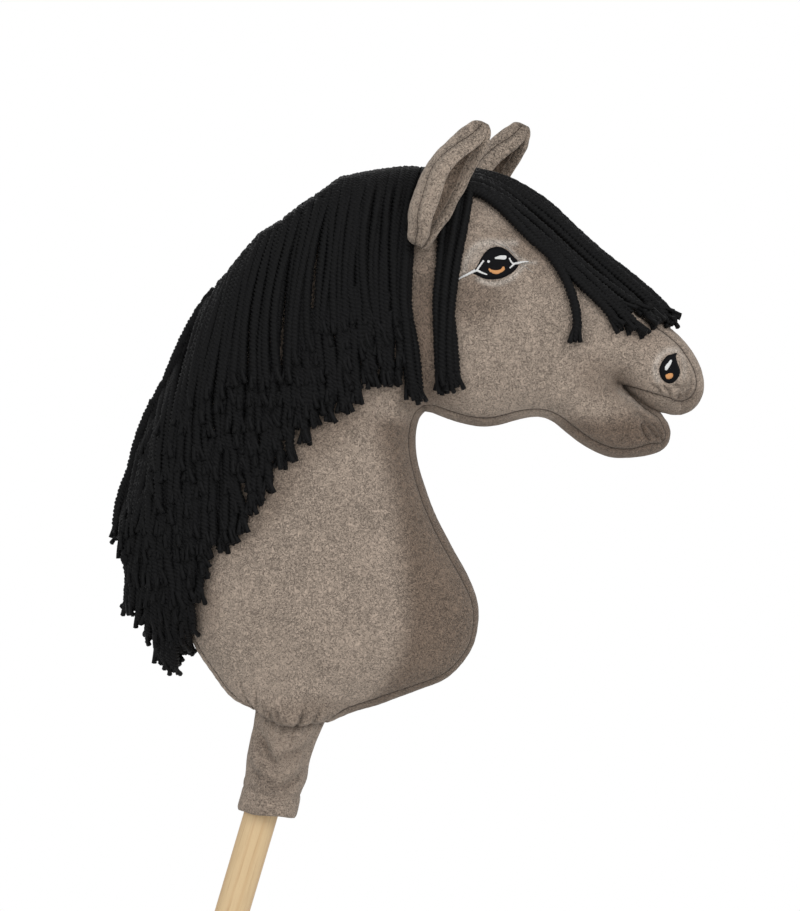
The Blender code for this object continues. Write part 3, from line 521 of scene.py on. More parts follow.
def fine_points(loop):
    """Extra points where the plush is creased, airbrushed or pleated closely."""
    made = []
    for middle, reach in FINE_SPOTS:
        x, z = from_photo([middle])[0]
        wide, high = reach[0] * PIXEL, reach[1] * PIXEL
        for row, up in enumerate(np.arange(-high, high, FINE_STEP * FINE_ROW)):
            for along in np.arange(-wide + (row % 2) * FINE_STEP / 2, wide, FINE_STEP):
                if math.hypot(along / wide, up / high) < 1:
                    made.append((x + along, z + up))
    for row, up in enumerate(np.arange(FINE_STEP, PLEAT_REACH, FINE_STEP)):
        for along in np.arange(-BASE_SPAN + (row % 2) * FINE_STEP / 2, BASE_SPAN, FINE_STEP):
            made.append(LEAN_AXIS * (CUFF_TOP_HEIGHT + up) + LEAN_ACROSS * along)
    made = np.array(made)
    made = made[edge_distance(made, loop[::-1]) > FINE_STEP]
    return made[line_distance(made, np.vstack([loop, loop[:1]])) > FINE_STEP * 0.8]


# The sewn panels of the head

def sewing_stations():
    """Points along the outline: the panel that they start, and how wide its gusset is there."""
    g = GUSSET_HALF
    even = [(0, g), (1, g)]
    chains = [("back_gusset", BACK, STATION_STEP, [(0, 13), (0.12, 13), (0.3, 18), (0.45, g), (1, g)]),
              ("forehead_gusset", BACK[-1:] + FACE[:-MUZZLE_POINTS], STATION_STEP, even),
              ("forehead_gusset", FACE[-MUZZLE_POINTS - 1:], LIP_STEP, [(0, g), (1, 20.2)]),
              ("mouth_lining", FACE[-1:] + ROOF + [MOUTH_CORNER], LIP_STEP,
               [(0, 20.2), (0.16, 24), (0.35, 27.5), (0.55, 27.5), (0.75, 20), (0.9, 10), (1, 3)]),
              ("mouth_lining", [MOUTH_CORNER] + FLOOR, LIP_STEP, [(0, 3), (0.4, 11), (1, 14)]),
              ("chin_gusset", FLOOR[-1:] + LIP + JAW[:1], LIP_STEP,
               [(0, 14), (0.45, 15), (0.7, 24), (1, g)]),
              ("chin_gusset", JAW + THROAT[:1], STATION_STEP, even),
              ("neck_gusset", THROAT + FRONT, STATION_STEP,
               [(0, g), (0.4, 20), (0.54, 16), (0.68, 17), (0.8, 19.5), (0.9, 20), (1, 14)])]
    at, half, panel = [], [], []
    for name, chain, step, widths in chains:
        points = resampled(smooth_curve(chain, CURVE_STEP), step)
        widths = np.array(widths, float)
        for i, point in enumerate(points):
            if at and np.linalg.norm(at[-1] - point) < 0.01:
                panel[-1] = name
                continue
            at.append(point)
            half.append(float(np.interp(i / (len(points) - 1), widths[:, 0], widths[:, 1])))
            panel.append(name)
    kernel = np.hanning(13)[1:-1]
    padded = np.pad(half, 5, mode="edge")
    return np.array(at), np.convolve(padded, kernel / kernel.sum(), mode="valid"), panel


def inward_directions(at):
    """Directions into the form across the outline; along the cut at the neck's base, along it."""
    before = np.vstack([at[:1], at[:-1]])
    after = np.vstack([at[1:], at[-1:]])
    tangent = after - before
    made = np.column_stack([tangent[:, 1], -tangent[:, 0]])
    made /= np.linalg.norm(made, axis=1)[:, None]
    kernel = np.hanning(11)[1:-1]
    padded = np.pad(made, ((4, 4), (0, 0)), mode="edge")
    made = np.column_stack([np.convolve(padded[:, k], kernel, mode="valid") for k in (0, 1)])
    made /= np.linalg.norm(made, axis=1)[:, None]
    made[0], made[-1] = LEAN_ACROSS, -LEAN_ACROSS
    return made


def depths_for(at, inward, y):
    """How far in from the outline the form is y wide to each side, for many points at once."""
    low, high = np.zeros(len(at)), np.full(len(at), DEEPEST_SEAM)
    for _ in range(DEPTH_PASSES):
        mid = (low + high) / 2
        short = swell(at + inward * mid[:, None]) < y * y
        low, high = np.where(short, mid, low), np.where(short, high, mid)
    return high


def stuffed_form():
    """The head's panels: points, and the faces of each panel, which share the seams' points."""
    at, half, panel = sewing_stations()
    inward = inward_directions(at)
    count = len(at)
    columns = [-share for share in ACROSS[:0:-1]] + list(ACROSS)
    rows = {0.0: at}
    for share in ACROSS[1:]:
        depth = depths_for(at, inward, half * share)
        rows[share] = at + inward * depth[:, None]
    grid = np.array([np.column_stack([rows[abs(c)][:, 0], half * c, rows[abs(c)][:, 1]])
                     for c in columns]).transpose(1, 0, 2)
    width = len(columns)
    verts = [tuple(v) for v in grid.reshape(-1, 3)]
    groups = {}
    for i in range(count - 1):
        faces = groups.setdefault(panel[i], [])
        for k in range(width - 1):
            a = i * width + k
            faces.append([a, a + 1, a + width + 1, a + width])
    seam = rows[1.0]
    base_cut = resampled(np.array([seam[-1], seam[0]]), FINE_STEP)[1:-1]
    loop = np.vstack([seam, base_cut])
    turn = np.roll(loop, -1, axis=0) - loop
    leftwards = (loop[:, 0] * turn[:, 1] - loop[:, 1] * turn[:, 0]).sum() > 0
    rings = list(fine_points(loop[::-1] if leftwards else loop))
    tangent = np.gradient(seam, axis=0)
    into = np.column_stack([tangent[:, 1], -tangent[:, 0]])
    into /= np.linalg.norm(into, axis=1)[:, None] + 1e-9
    for offset in SEAM_RINGS:
        ring = seam + into * offset
        ring = ring[line_distance(ring, seam) > offset * 0.9]
        thin = max(1, round(offset / 2.2))
        rings.extend(ring[::thin])
    flat, faces = filled(loop, PANEL_STEP, rings)
    depth = half_width(flat)
    for side, name, column in ((-1, "near_side_panel", 0), (1, "far_side_panel", width - 1)):
        index = [i * width + column for i in range(count)]
        for i in range(count, len(flat)):
            index.append(len(verts))
            verts.append((flat[i, 0], side * depth[i], flat[i, 1]))
        made = [[index[i] for i in face] for face in faces]
        groups[name] = made if side > 0 else [face[::-1] for face in made]
    seams = [grid[:, 0], grid[:, -1]]
    return np.array(verts), groups, seams


FORM, PANELS, SEAMS = stuffed_form()
FORM_NORMALS = outward(FORM[:, [0, 2]], FORM[:, 1])


def seam_tree():
    """The seams, finely sampled, and how far along its seam each sample is."""
    fine = [resampled(seam, SEAM_SAMPLE) for seam in SEAMS]
    tree = KDTree(sum(len(seam) for seam in fine))
    along = []
    for seam in fine:
        for i, point in enumerate(seam):
            tree.insert(tuple(point), len(along))
            along.append(i * SEAM_SAMPLE)
    tree.balance()
    return tree, np.array(along)


SEAM_TREE, SEAM_ALONG = seam_tree()


def seam_reach(points):
    """Distance to the nearest seam, and the place along it."""
    found = [SEAM_TREE.find(tuple(point)) for point in points]
    return (np.array([item[2] for item in found]),
            SEAM_ALONG[np.array([item[1] for item in found], dtype=int)])


def relief(points):
    """How far the sewn plush stands off the plain form: seams, puckers, soft lumps, pleats."""
    points = np.array(points, float)
    away, along = seam_reach(points)
    made = -SEAM_VALLEY * np.exp(-(away / SEAM_WIDTH) ** 2)
    sway = PUCKER_SWAY * np.sin(along / PUCKER_SWAY_LENGTH)
    wave = np.sin(2 * math.pi * along / PUCKER_LENGTH + sway)
    made += PUCKER * wave * np.exp(-away / PUCKER_REACH) * (1 - np.exp(-(away / PUCKER_START) ** 2))
    lumps = [noise.noise(Vector(p) / LUMP_LENGTH)
             + SMALL_LUMP * noise.noise(Vector(p) / SMALL_LUMP_LENGTH) for p in points]
    made += LUMP * np.array(lumps)
    made -= CREASE * crease_marks(points)
    made -= PLEAT * pleat_marks(points)
    rise = (points[:, [0, 2]] @ LEAN_AXIS - CUFF_TOP_HEIGHT) / BASE_BULGE_REACH
    bulge = np.sin(math.pi * np.clip(rise, 0, 1) ** BULGE_SHAPE)
    made += BASE_BULGE * bulge * np.abs(np.sin(base_turn(points)))
    flat = points[:, [0, 2]]
    lips = np.exp(-(line_distance(flat, MOUTH_SLIT) / LIP_PUSH_REACH) ** 2)
    made += LIP_PUSH * lips * eased((LIP[0][0] - flat[:, 0]) / LIP_PUSH_FADE)
    corner = np.linalg.norm(flat - MOUTH_CORNER, axis=1)
    made += CORNER_FILL * np.exp(-(corner / CORNER_REACH) ** 2)
    return made


def fold_marks(flat, folds, width):
    """How deep in any of the folds points of the side view are, from 0 to 1."""
    made = np.zeros(len(flat))
    for pixels in folds:
        chain = resampled(smooth_curve(from_photo(pixels), 1.0), 1.0)
        made = np.maximum(made, np.exp(-(line_distance(flat, chain) / width) ** 2))
    return made


def crease_marks(points):
    return fold_marks(points[:, [0, 2]], CREASES + BASE_CREASES, CREASE_WIDTH)


def base_share(points, reach):
    """1 at the neck's lower edge, 0 at the reach above it."""
    height = points[:, [0, 2]] @ LEAN_AXIS
    return eased(1 - (height - CUFF_TOP_HEIGHT) / reach)


def base_turn(points):
    return np.arctan2(points[:, 1], points[:, [0, 2]] @ LEAN_ACROSS)


def pleat_marks(points):
    """How deep in a pleat of the gathered neck points are, from 0 to 1."""
    turn = base_turn(points)
    fold = 1 - np.abs(np.sin(PLEATS / 2 * turn + 0.9 * np.sin(3 * turn + 0.6)))
    strength = 0.55 + 0.45 * np.sin(5 * turn + 1.3)
    return base_share(points, PLEAT_REACH) * strength * fold ** 3


def base_shift(points):
    """How far up the stick's axis the gathered lower edge is pulled, or sags when negative."""
    turn = base_turn(points)
    front = eased((points[:, [0, 2]] @ LEAN_ACROSS + FRONT_LIFT_FROM) / FRONT_LIFT_OVER)
    shift = BASE_FRONT_LIFT * front - BASE_SAG * np.sin(turn) ** 4
    return shift * base_share(points, BASE_REACH)


FORM_RELIEF = relief(FORM)
SEWN = FORM + FORM_NORMALS * FORM_RELIEF[:, None]
SEWN += base_shift(FORM)[:, None] * np.array([LEAN_AXIS[0], 0.0, LEAN_AXIS[1]])


def on_plush(flat, side, lift):
    """Points that lie the lift above the sewn plush, on one side of the head."""
    flat = np.atleast_2d(np.array(flat, float))
    width = half_width(flat) * side
    plain = np.column_stack([flat[:, 0], width, flat[:, 1]])
    off = relief(plain) + lift
    return plain + outward(flat, width) * off[:, None]


# Where the plush is darkened, from the photograph: the airbrush round the eye and muzzle, and painted shade
# between the locks, under the mane and at the neck's base; middle, reach, turn and strength
SHADED_SPOTS = [((470, 300), (44, 34), 15, 0.55), ((500, 250), (40, 24), 15, 0.45),
                ((424, 325), (24, 90), 0, 0.75), ((425, 395), (40, 28), 0, 0.55),
                ((600, 380), (36, 26), -30, 0.42), ((636, 424), (36, 22), -20, 0.5),
                ((688, 402), (26, 14), 20, 0.5), ((545, 270), (40, 24), -40, 0.3),
                # From here on, painted shade along the neck's base and under the mane.
                ((410, 700), (90, 24), 25, 0.35), ((300, 712), (70, 20), 0, 0.35),
                ((336, 420), (60, 30), 45, 0.42), ((270, 500), (80, 24), 50, 0.4),
                ((206, 600), (20, 50), 0, 0.35)]
BAND_EDGE = [(372, 400), (378, 440), (390, 480), (398, 530), (404, 580), (405, 620), (398, 660),
             (380, 690), (350, 712)]
WARM_SPOTS = [((540, 240), (50, 22), -45, 0.7), ((455, 215), (30, 40), 0, 0.5),
              ((420, 350), (22, 60), 0, 0.4), ((640, 330), (34, 20), -20, 0.5)]


# Pale strokes on the plush: the airbrush round the eye, a pale halo round the nostril that is airbrush and
# partly painted highlight, and a painted highlight by the mouth's corner; pixels, width in millimetres and
# strength
PALE_STROKES = [([(464, 273), (467, 259), (473, 249), (480, 243.5), (492, 242), (503, 243),
                  (515, 243)], 2.6, 0.5),
                ([(474, 262), (480, 251), (489, 246)], 3.4, 0.3),
                ([(478, 279), (486, 282.5), (496, 283.5), (506, 281), (514, 276), (521, 268),
                  (525, 263)], 2.0, 0.55),
                ([(497, 244), (507, 247), (517, 256), (527, 262), (536, 262.5)], 1.3, 0.45),
                # The pale halo round the nostril: airbrush, partly a painted highlight on the pile.
                ([(677, 350), (668, 350.5), (661, 355), (656.5, 362), (655, 371), (658, 380)], 2.2,
                 0.5),
                ([(682, 355), (684.5, 365), (683.5, 377)], 1.8, 0.3),
                # A painted highlight by the mouth's corner.
                ([(619, 392), (628, 398), (640, 407)], 1.6, 0.25)]


def as_seen(flat, width):
    """Side-view places whose points, at half widths from the middle, appear over the pixels."""
    middle = np.array([VIEW_AT.x, VIEW_AT.z]) / MM - BASE_POINT
    return middle + (flat - middle) * (1 - np.reshape(width, (-1, 1)) * MM / VIEW_DISTANCE)


def near_face(pixels):
    """Side-view places of pixels that show the near side of the head."""
    flat = from_photo(pixels)
    return as_seen(flat, half_width(flat))


def pale_strokes(flat):
    total = np.zeros(len(flat))
    for pixels, width, strength in PALE_STROKES:
        chain = resampled(smooth_curve(near_face(pixels), 1.0), 1.0)
        stroke = strength * np.exp(-(line_distance(flat, chain) / width) ** 2)
        total = 1 - (1 - total) * (1 - stroke)
    return total


def soft_spots(flat, spots):
    total = np.zeros(len(flat))
    for middle, reach, turn, strength in spots:
        offset = flat - from_photo([middle])[0]
        angle = math.radians(turn)
        across = offset[:, 0] * math.cos(angle) + offset[:, 1] * math.sin(angle)
        up = offset[:, 1] * math.cos(angle) - offset[:, 0] * math.sin(angle)
        far = np.hypot(across / (reach[0] * PIXEL), up / (reach[1] * PIXEL))
        total = 1 - (1 - total) * (1 - strength * eased(SPOT_EDGE - far))
    return total


def neck_band(flat):
    """The darker band down the front of the neck, soft along its left edge: partly the airbrush, partly
    painted shade where the neck turns away from the light.
    """
    edge = from_photo(BAND_EDGE)[::-1]
    border = np.interp(flat[:, 1], edge[:, 1], edge[:, 0])
    inside = eased((flat[:, 0] - border + BAND_SOFTNESS / 2) / BAND_SOFTNESS)
    below_jaw = eased((BAND_TOP - flat[:, 1]) / BAND_TOP_SOFTNESS)
    return inside * below_jaw * BAND_DARKNESS


def airbrush_and_shade(points):
    flat = points[:, [0, 2]]
    dark = 1 - (1 - soft_spots(flat, SHADED_SPOTS)) * (1 - neck_band(flat))
    return dark, soft_spots(flat, WARM_SPOTS), pale_strokes(flat)


# Finishes

LIGHT_PLUSH = (0.408, 0.327, 0.264)
# The dark plush colour serves the airbrush and the painted shade alike.
DARK_PLUSH = (0.170, 0.120, 0.087)
WARM_PLUSH = (0.280, 0.196, 0.147)
PALE_PLUSH = (0.66, 0.60, 0.54)
EVEN_SHADE = 0.52
# How much painted shade darkens the plush along seams, creases and pleats.
SEAM_DARKNESS = 0.45
SATIN_PERIOD = 0.00055


def feed(tree, made, inputs):
    """Links or sets a node's inputs."""
    for key, value in inputs.items():
        if isinstance(value, bpy.types.NodeSocket):
            tree.links.new(value, made.inputs[key])
        else:
            made.inputs[key].default_value = value
    return made


def node(tree, kind, settings=None, **inputs):
    """A new node with its settings; the names of its inputs have underscores for spaces."""
    made = tree.nodes.new(kind)
    for key, value in (settings or {}).items():
        setattr(made, key, value)
    return feed(tree, made, {key.replace("_", " "): value for key, value in inputs.items()})


def calc(tree, operation, a, b=0.0, c=0.0, clamp=False):
    made = node(tree, "ShaderNodeMath", {"operation": operation, "use_clamp": clamp})
    return feed(tree, made, {0: a, 1: b, 2: c}).outputs[0]


def mixed(tree, share, a, b):
    """A colour the share of the way from a to b."""
    made = node(tree, "ShaderNodeMix", {"data_type": "RGBA"})
    a, b = (value if isinstance(value, bpy.types.NodeSocket) else (*value, 1.0) for value in (a, b))
    return feed(tree, made, {0: share, 6: a, 7: b}).outputs[2]


def ramp(tree, value, low, high):
    """The value's share of the way from low to high, kept between 0 and 1."""
    return node(tree, "ShaderNodeMapRange", {"interpolation_type": "SMOOTHSTEP"}, Value=value,
                From_Min=low, From_Max=high).outputs[0]


def speckle(tree, place, scale, detail, **more):
    return node(tree, "ShaderNodeTexNoise", Vector=place, Scale=scale, Detail=detail,
                **more).outputs[0]


def bands(tree, place, direction, scale, **more):
    return node(tree, "ShaderNodeTexWave", {"wave_type": "BANDS", "bands_direction": direction},
                Vector=place, Scale=scale, **more).outputs[1]


def bump(tree, height, distance, strength):
    return node(tree, "ShaderNodeBump", Height=height, Distance=distance,
                Strength=strength).outputs[0]


def finish(name):
    """An empty material, its tree, its shader and object coordinates."""
    made = bpy.data.materials.new(name)
    made.use_nodes = True
    tree = made.node_tree
    shader = tree.nodes["Principled BSDF"]
    place = tree.nodes.new("ShaderNodeTexCoord").outputs["Object"]
    return made, tree, shader, place


def attribute(tree, name):
    return node(tree, "ShaderNodeAttribute", {"attribute_name": name}).outputs["Fac"]


def group(name, inputs, outputs):
    made = bpy.data.node_groups.new(name, "ShaderNodeTree")
    for label, kind, value in inputs:
        socket = made.interface.new_socket(name=label, in_out="INPUT", socket_type=kind)
        if value is not None:
            socket.default_value = value
    for label in outputs:
        made.interface.new_socket(name=label, in_out="OUTPUT", socket_type="NodeSocketFloat")
    return made, made.nodes.new("NodeGroupInput").outputs, made.nodes.new("NodeGroupOutput").inputs


def build_pile_group():
    """Short plush pile: squiggly tufts with painted shade in the furrows between them, and broad patches a
    little lighter or darker, painted sheen of pile that leans one way or the other.
    """
    made, given, out = group("plush_pile", [("Vector", "NodeSocketVector", None),
                                            ("Tufts", "NodeSocketFloat", 300.0)],
                             ["Shade", "Height"])
    place, size = given["Vector"], given["Tufts"]
    worms = speckle(made, place, size, 1.0, Roughness=0.5, Distortion=1.3)
    furrows = ramp(made, calc(made, "ABSOLUTE", calc(made, "SUBTRACT", worms, 0.5)), 0.005, 0.085)
    tufts = speckle(made, place, calc(made, "MULTIPLY", size, 1.35), 1.0, Distortion=2.2)
    tufts = calc(made, "MULTIPLY_ADD", ramp(made, tufts, 0.40, 0.60), 0.5,
                 calc(made, "MULTIPLY", furrows, 0.5))
    fine = speckle(made, place, calc(made, "MULTIPLY", size, 2.6), 2.0)
    patches = speckle(made, place, 28.0, 2.0)
    height = calc(made, "ADD", calc(made, "MULTIPLY", tufts, 0.7), calc(made, "MULTIPLY", fine, 0.5))
    shade = calc(made, "ADD", calc(made, "MULTIPLY", tufts, 0.7), calc(made, "MULTIPLY", fine, 0.35))
    shade = calc(made, "ADD", shade, calc(made, "MULTIPLY", patches, 0.4))
    made.links.new(shade, out["Shade"])
    made.links.new(height, out["Height"])
    return made


PILE = build_pile_group()


def plush_finish(name, light, dark, warm, tufts=310.0, contrast=0.95):
    """Short-pile plush: its airbrushed colour, painted shade and painted highlights, and painted shade that
    makes it darker and flatter along the seams.
    """
    made, tree, shader, place = finish(name)
    pile = node(tree, "ShaderNodeGroup", {"node_tree": PILE}, Vector=place, Tufts=tufts).outputs
    # The airbrush and painted shade darken the plush, the warm airbrush warms it, pale strokes and painted
    # highlights lighten it.
    colour = mixed(tree, attribute(tree, "airbrush_and_shade"), light, dark)
    colour = mixed(tree, calc(tree, "MULTIPLY", attribute(tree, "warmth"), 0.5), colour, warm)
    colour = mixed(tree, attribute(tree, "pale"), colour, PALE_PLUSH)
    # The pile's shade: painted shade in its furrows and painted sheen on its patches.
    shade = ramp(tree, pile["Shade"], 0.25, 1.1)
    shade = calc(tree, "MULTIPLY_ADD", shade, contrast, 1.0 - contrast * EVEN_SHADE)
    # Painted shade along the seams, creases and pleats.
    seam = calc(tree, "MULTIPLY_ADD", attribute(tree, "seam"), -SEAM_DARKNESS, 1.0)
    shade = calc(tree, "MULTIPLY", shade, seam)
    feed(tree, shader, {
        "Base Color": node(tree, "ShaderNodeHueSaturation", Color=colour, Value=shade).outputs[0],
        "Roughness": calc(tree, "MULTIPLY_ADD", pile["Shade"], 0.1, 0.82),
        "Specular IOR Level": 0.25,
        "Sheen Weight": 0.35,
        "Sheen Roughness": 0.45,
        "Sheen Tint": (0.85, 0.78, 0.7, 1.0),
        "Normal": bump(tree, pile["Height"], 0.0015, 0.85)})
    return made


def build_yarn_finish():
    """Black cotton yarn: fine fibres, strands a little unlike each other, dry ends, painted shade in the
    grooves between the plies.
    """
    made, tree, shader, place = finish("black_yarn")
    stretched = node(tree, "ShaderNodeMapping", Vector=place, Scale=(1.0, 1.0, 0.35)).outputs[0]
    fibres = speckle(tree, stretched, 1500.0, 2.0)
    fluff = speckle(tree, place, 420.0, 3.0)
    worn = calc(tree, "POWER", attribute(tree, "strand"), 1.5)
    share = calc(tree, "ADD", calc(tree, "MULTIPLY", fibres, 0.25), calc(tree, "MULTIPLY", worn, 0.75))
    # Painted shade: darker down in the grooves between plies, lighter on their crests.
    crest = calc(tree, "SUBTRACT", 1.0, attribute(tree, "groove_shade"))
    share = calc(tree, "MULTIPLY", share, calc(tree, "POWER", crest, 3.2), clamp=True)
    feed(tree, shader, {
        "Base Color": mixed(tree, share, (0.0006, 0.0006, 0.0007), (0.044, 0.044, 0.047)),
        "Roughness": calc(tree, "MULTIPLY_ADD", fluff, 0.25, 0.4),
        "Specular IOR Level": 0.13,
        "Sheen Weight": 0.03,
        "Sheen Roughness": 0.4,
        "Normal": bump(tree, calc(tree, "ADD", fibres, fluff), 0.0004, 0.6)})
    return made


def build_satin_finish(name, colour, other, lean, rough=0.36, gloss=0.5):
    """Machine embroidery: rows of shiny thread that lean one way, each row lighter along its crest as
    painted sheen.
    """
    made, tree, shader, place = finish(name)
    turned = node(tree, "ShaderNodeMapping", Vector=place,
                  Rotation=(0.0, math.radians(lean), 0.0)).outputs[0]
    rows = bands(tree, turned, "X", math.pi / 10 / SATIN_PERIOD, Distortion=0.5, Detail=1.0)
    wear = speckle(tree, turned, 900.0, 2.0)
    # Painted sheen: lighter along each row's crest; the wear speckle is random tone.
    share = calc(tree, "MULTIPLY_ADD", wear, 0.5, calc(tree, "MULTIPLY", rows, 0.5))
    feed(tree, shader, {
        "Base Color": mixed(tree, share, colour, other),
        "Roughness": calc(tree, "MULTIPLY_ADD", wear, 0.2, rough),
        "Specular IOR Level": gloss,
        "Normal": bump(tree, rows, 0.00035, 0.5)})
    return made


def build_pine_finish():
    """Planed pine dowel: growth lines along it, small dark flecks and a dull varnish."""
    made, tree, shader, place = finish("planed_pine")
    upright = node(tree, "ShaderNodeMapping", Vector=place,
                   Rotation=(0.0, -STICK_LEAN, 0.0)).outputs[0]
    drawn = node(tree, "ShaderNodeMapping", Vector=upright, Scale=(1.0, 1.0, 0.035)).outputs[0]
    growth = bands(tree, drawn, "X", 38.0, Distortion=5.5, Detail=2.5)
    growth = calc(tree, "MULTIPLY", calc(tree, "POWER", growth, 4.0), 0.4)
    pores = speckle(tree, drawn, 950.0, 3.0)
    broad = speckle(tree, drawn, 60.0, 2.0)
    colour = mixed(tree, growth, (0.86, 0.63, 0.35), (0.66, 0.40, 0.18))
    flecks = calc(tree, "MULTIPLY", ramp(tree, pores, 0.52, 0.75), 0.35)
    colour = mixed(tree, flecks, colour, (0.45, 0.24, 0.09))
    colour = mixed(tree, calc(tree, "MULTIPLY", broad, 0.3), colour, (0.84, 0.62, 0.38))
    feed(tree, shader, {
        "Base Color": colour,
        "Roughness": calc(tree, "MULTIPLY_ADD", pores, 0.25, 0.38),
        "Coat Weight": 0.15,
        "Coat Roughness": 0.35,
        "Normal": bump(tree, calc(tree, "ADD", growth, pores), 0.0003, 0.35)})
    return made


def build_woven_finish(name, colour, other, threads):
    """Plain-woven tape or canvas."""
    made, tree, shader, place = finish(name)
    crossed = [bands(tree, place, direction, threads, Distortion=0.3) for direction in ("X", "Z")]
    weave = calc(tree, "MAXIMUM", *crossed)
    feed(tree, shader, {
        "Base Color": mixed(tree, weave, colour, other),
        "Roughness": calc(tree, "MULTIPLY_ADD", weave, 0.1, 0.8),
        "Normal": bump(tree, weave, 0.0004, 0.5)})
    return made


PLUSH = plush_finish("grey_brown_plush", LIGHT_PLUSH, DARK_PLUSH, WARM_PLUSH)
EAR_PLUSH = plush_finish("ear_plush", (0.42, 0.34, 0.275), (0.18, 0.135, 0.1), WARM_PLUSH, 270.0, 1.15)
YARN = build_yarn_finish()
BLACK_SATIN = build_satin_finish("black_satin", (0.002, 0.002, 0.003), (0.007, 0.007, 0.009), 20,
                                 rough=0.5, gloss=0.12)
ORANGE_SATIN = build_satin_finish("orange_satin", (0.78, 0.32, 0.10), (0.90, 0.46, 0.18), 70)
WHITE_SATIN = build_satin_finish("white_satin", (0.93, 0.93, 0.92), (0.99, 0.99, 0.98), 80)
PALE_THREAD = build_satin_finish("pale_grey_thread", (0.40, 0.37, 0.34), (0.55, 0.52, 0.49), 40)
# Dark brown: the stitching's own colour, partly painted shadow in the seam's valley.
SEAM_THREAD = build_satin_finish("brown_seam_thread", (0.075, 0.056, 0.043), (0.11, 0.083, 0.065), 0,
                                 gloss=0.2)
PINE = build_pine_finish()
TAPE = build_woven_finish("black_woven_tape", (0.008, 0.008, 0.008), (0.025, 0.025, 0.026), 260.0)
CANVAS = build_woven_finish("canvas_pocket", (0.36, 0.32, 0.26), (0.56, 0.51, 0.43), 200.0)
FILLING = plush_finish("white_stuffing", (0.82, 0.82, 0.8), (0.7, 0.7, 0.68), (0.8, 0.8, 0.78), 240.0)


def refinish(name, made):
    """Gives a node that is carried over from the part its finish."""
    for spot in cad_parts[name].material_slots:
        spot.material = made


def build_head():
    """The seven sewn panels, each with its cloth's thickness."""
    # Painted shade along the seams, creases and pleats, lessened at the mouth's corner.
    away, _ = seam_reach(FORM)
    seam = np.exp(-(away / 1.5) ** 2)
    corner = np.linalg.norm(FORM[:, [0, 2]] - MOUTH_CORNER, axis=1)
    seam *= 1 - 0.8 * np.exp(-(corner / 7.0) ** 2)
    seam = np.maximum(seam, 0.85 * np.maximum(crease_marks(FORM), pleat_marks(FORM)))
    dark, warm, pale = airbrush_and_shade(FORM)
    mouth_depth = edge_distance(FORM[:, [0, 2]], OUTLINE)
    for name, faces in PANELS.items():
        used = sorted({i for face in faces for i in face})
        place = {old: new for new, old in enumerate(used)}
        form = form_of(SEWN[used], [[place[i] for i in face] for face in faces])
        shade = dark[used].copy()
        # Inside the mouth the darkness is halved, a painted light against the mouth's shadow, and painted
        # shade darkens it deeper in.
        if name == "mouth_lining":
            shade = np.minimum(shade * 0.5 + 0.2 * eased((mouth_depth[used] - 8.0) / 14.0), 1.0)
        marks = {"airbrush_and_shade": shade, "warmth": warm[used], "seam": seam[used], "pale": pale[used]}
        made = piece_from(name + "_plush", form, PLUSH, marks=marks, outwards=FORM_NORMALS[used])
        cloth_wall(made, CLOTH)
        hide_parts(name)


build_head()


def border_loop(faces):
    """The points round the open edge of some faces, in order."""
    seen = {}
    for face in faces:
        for a, b in zip(face, face[1:] + face[:1]):
            if (b, a) in seen:
                del seen[(b, a)]
            else:
                seen[(a, b)] = True
    following = {a: b for a, b in seen}
    start = next(iter(following))
    loop = [start]
    while following[loop[-1]] != start:
        loop.append(following[loop[-1]])
    return loop


def turned_faces():
    """The faces of all panels, turned the same way, so that their open edge can be followed."""
    form = form_of(FORM, [face for faces in PANELS.values() for face in faces])
    bmesh.ops.recalc_face_normals(form, faces=form.faces)
    form.verts.index_update()
    made = [[v.index for v in face.verts] for face in form.faces]
    form.free()
    return made


HEAD_FACES = turned_faces()
LOWER_EDGE = border_loop(HEAD_FACES)


def base_edge():
    """The lower edge of the panels: how far round, how far out and how high it runs."""
    edge = SEWN[LOWER_EDGE]
    flat = edge[:, [0, 2]]
    across = flat @ LEAN_ACROSS
    turn = np.arctan2(edge[:, 1], across)
    order = np.argsort(turn)
    return turn[order], np.hypot(edge[:, 1], across)[order], (flat @ LEAN_AXIS)[order]


EDGE_TURN, EDGE_REACH, EDGE_HEIGHT = base_edge()


def at_turn(turn, values):
    return np.interp(turn, EDGE_TURN, values, period=2 * math.pi)


def build_gathered_base():
    """The plush drawn in from the panels' lower edges to the stick's pocket."""
    turns = np.linspace(-math.pi, math.pi, BASE_COLUMNS, endpoint=False)
    rings = []
    for share in BASE_RINGS:
        reach = at_turn(turns, EDGE_REACH) - CLOTH * 0.5
        radius = reach + (POCKET_RADIUS - reach) * share
        up = at_turn(turns, EDGE_HEIGHT) + 1.0 + 5.0 * share + 0.5 * np.sin(PLEATS * turns) * share
        rings.append(np.column_stack([np.cos(turns) * radius * LEAN_ACROSS[0] + up * LEAN_AXIS[0],
                                      np.sin(turns) * radius,
                                      np.cos(turns) * radius * LEAN_ACROSS[1] + up * LEAN_AXIS[1]]))
    form = bmesh.new()
    skinned(form, rings)
    # Painted shade: darker towards the pocket, where the plush is drawn in under the neck.
    shade = np.repeat(np.linspace(0.5, 1.0, len(rings)), len(turns))
    piece = piece_from("gathered_neck_base", form, PLUSH, marks={"airbrush_and_shade": shade})
    cloth_wall(piece, CLOTH, 0.0)


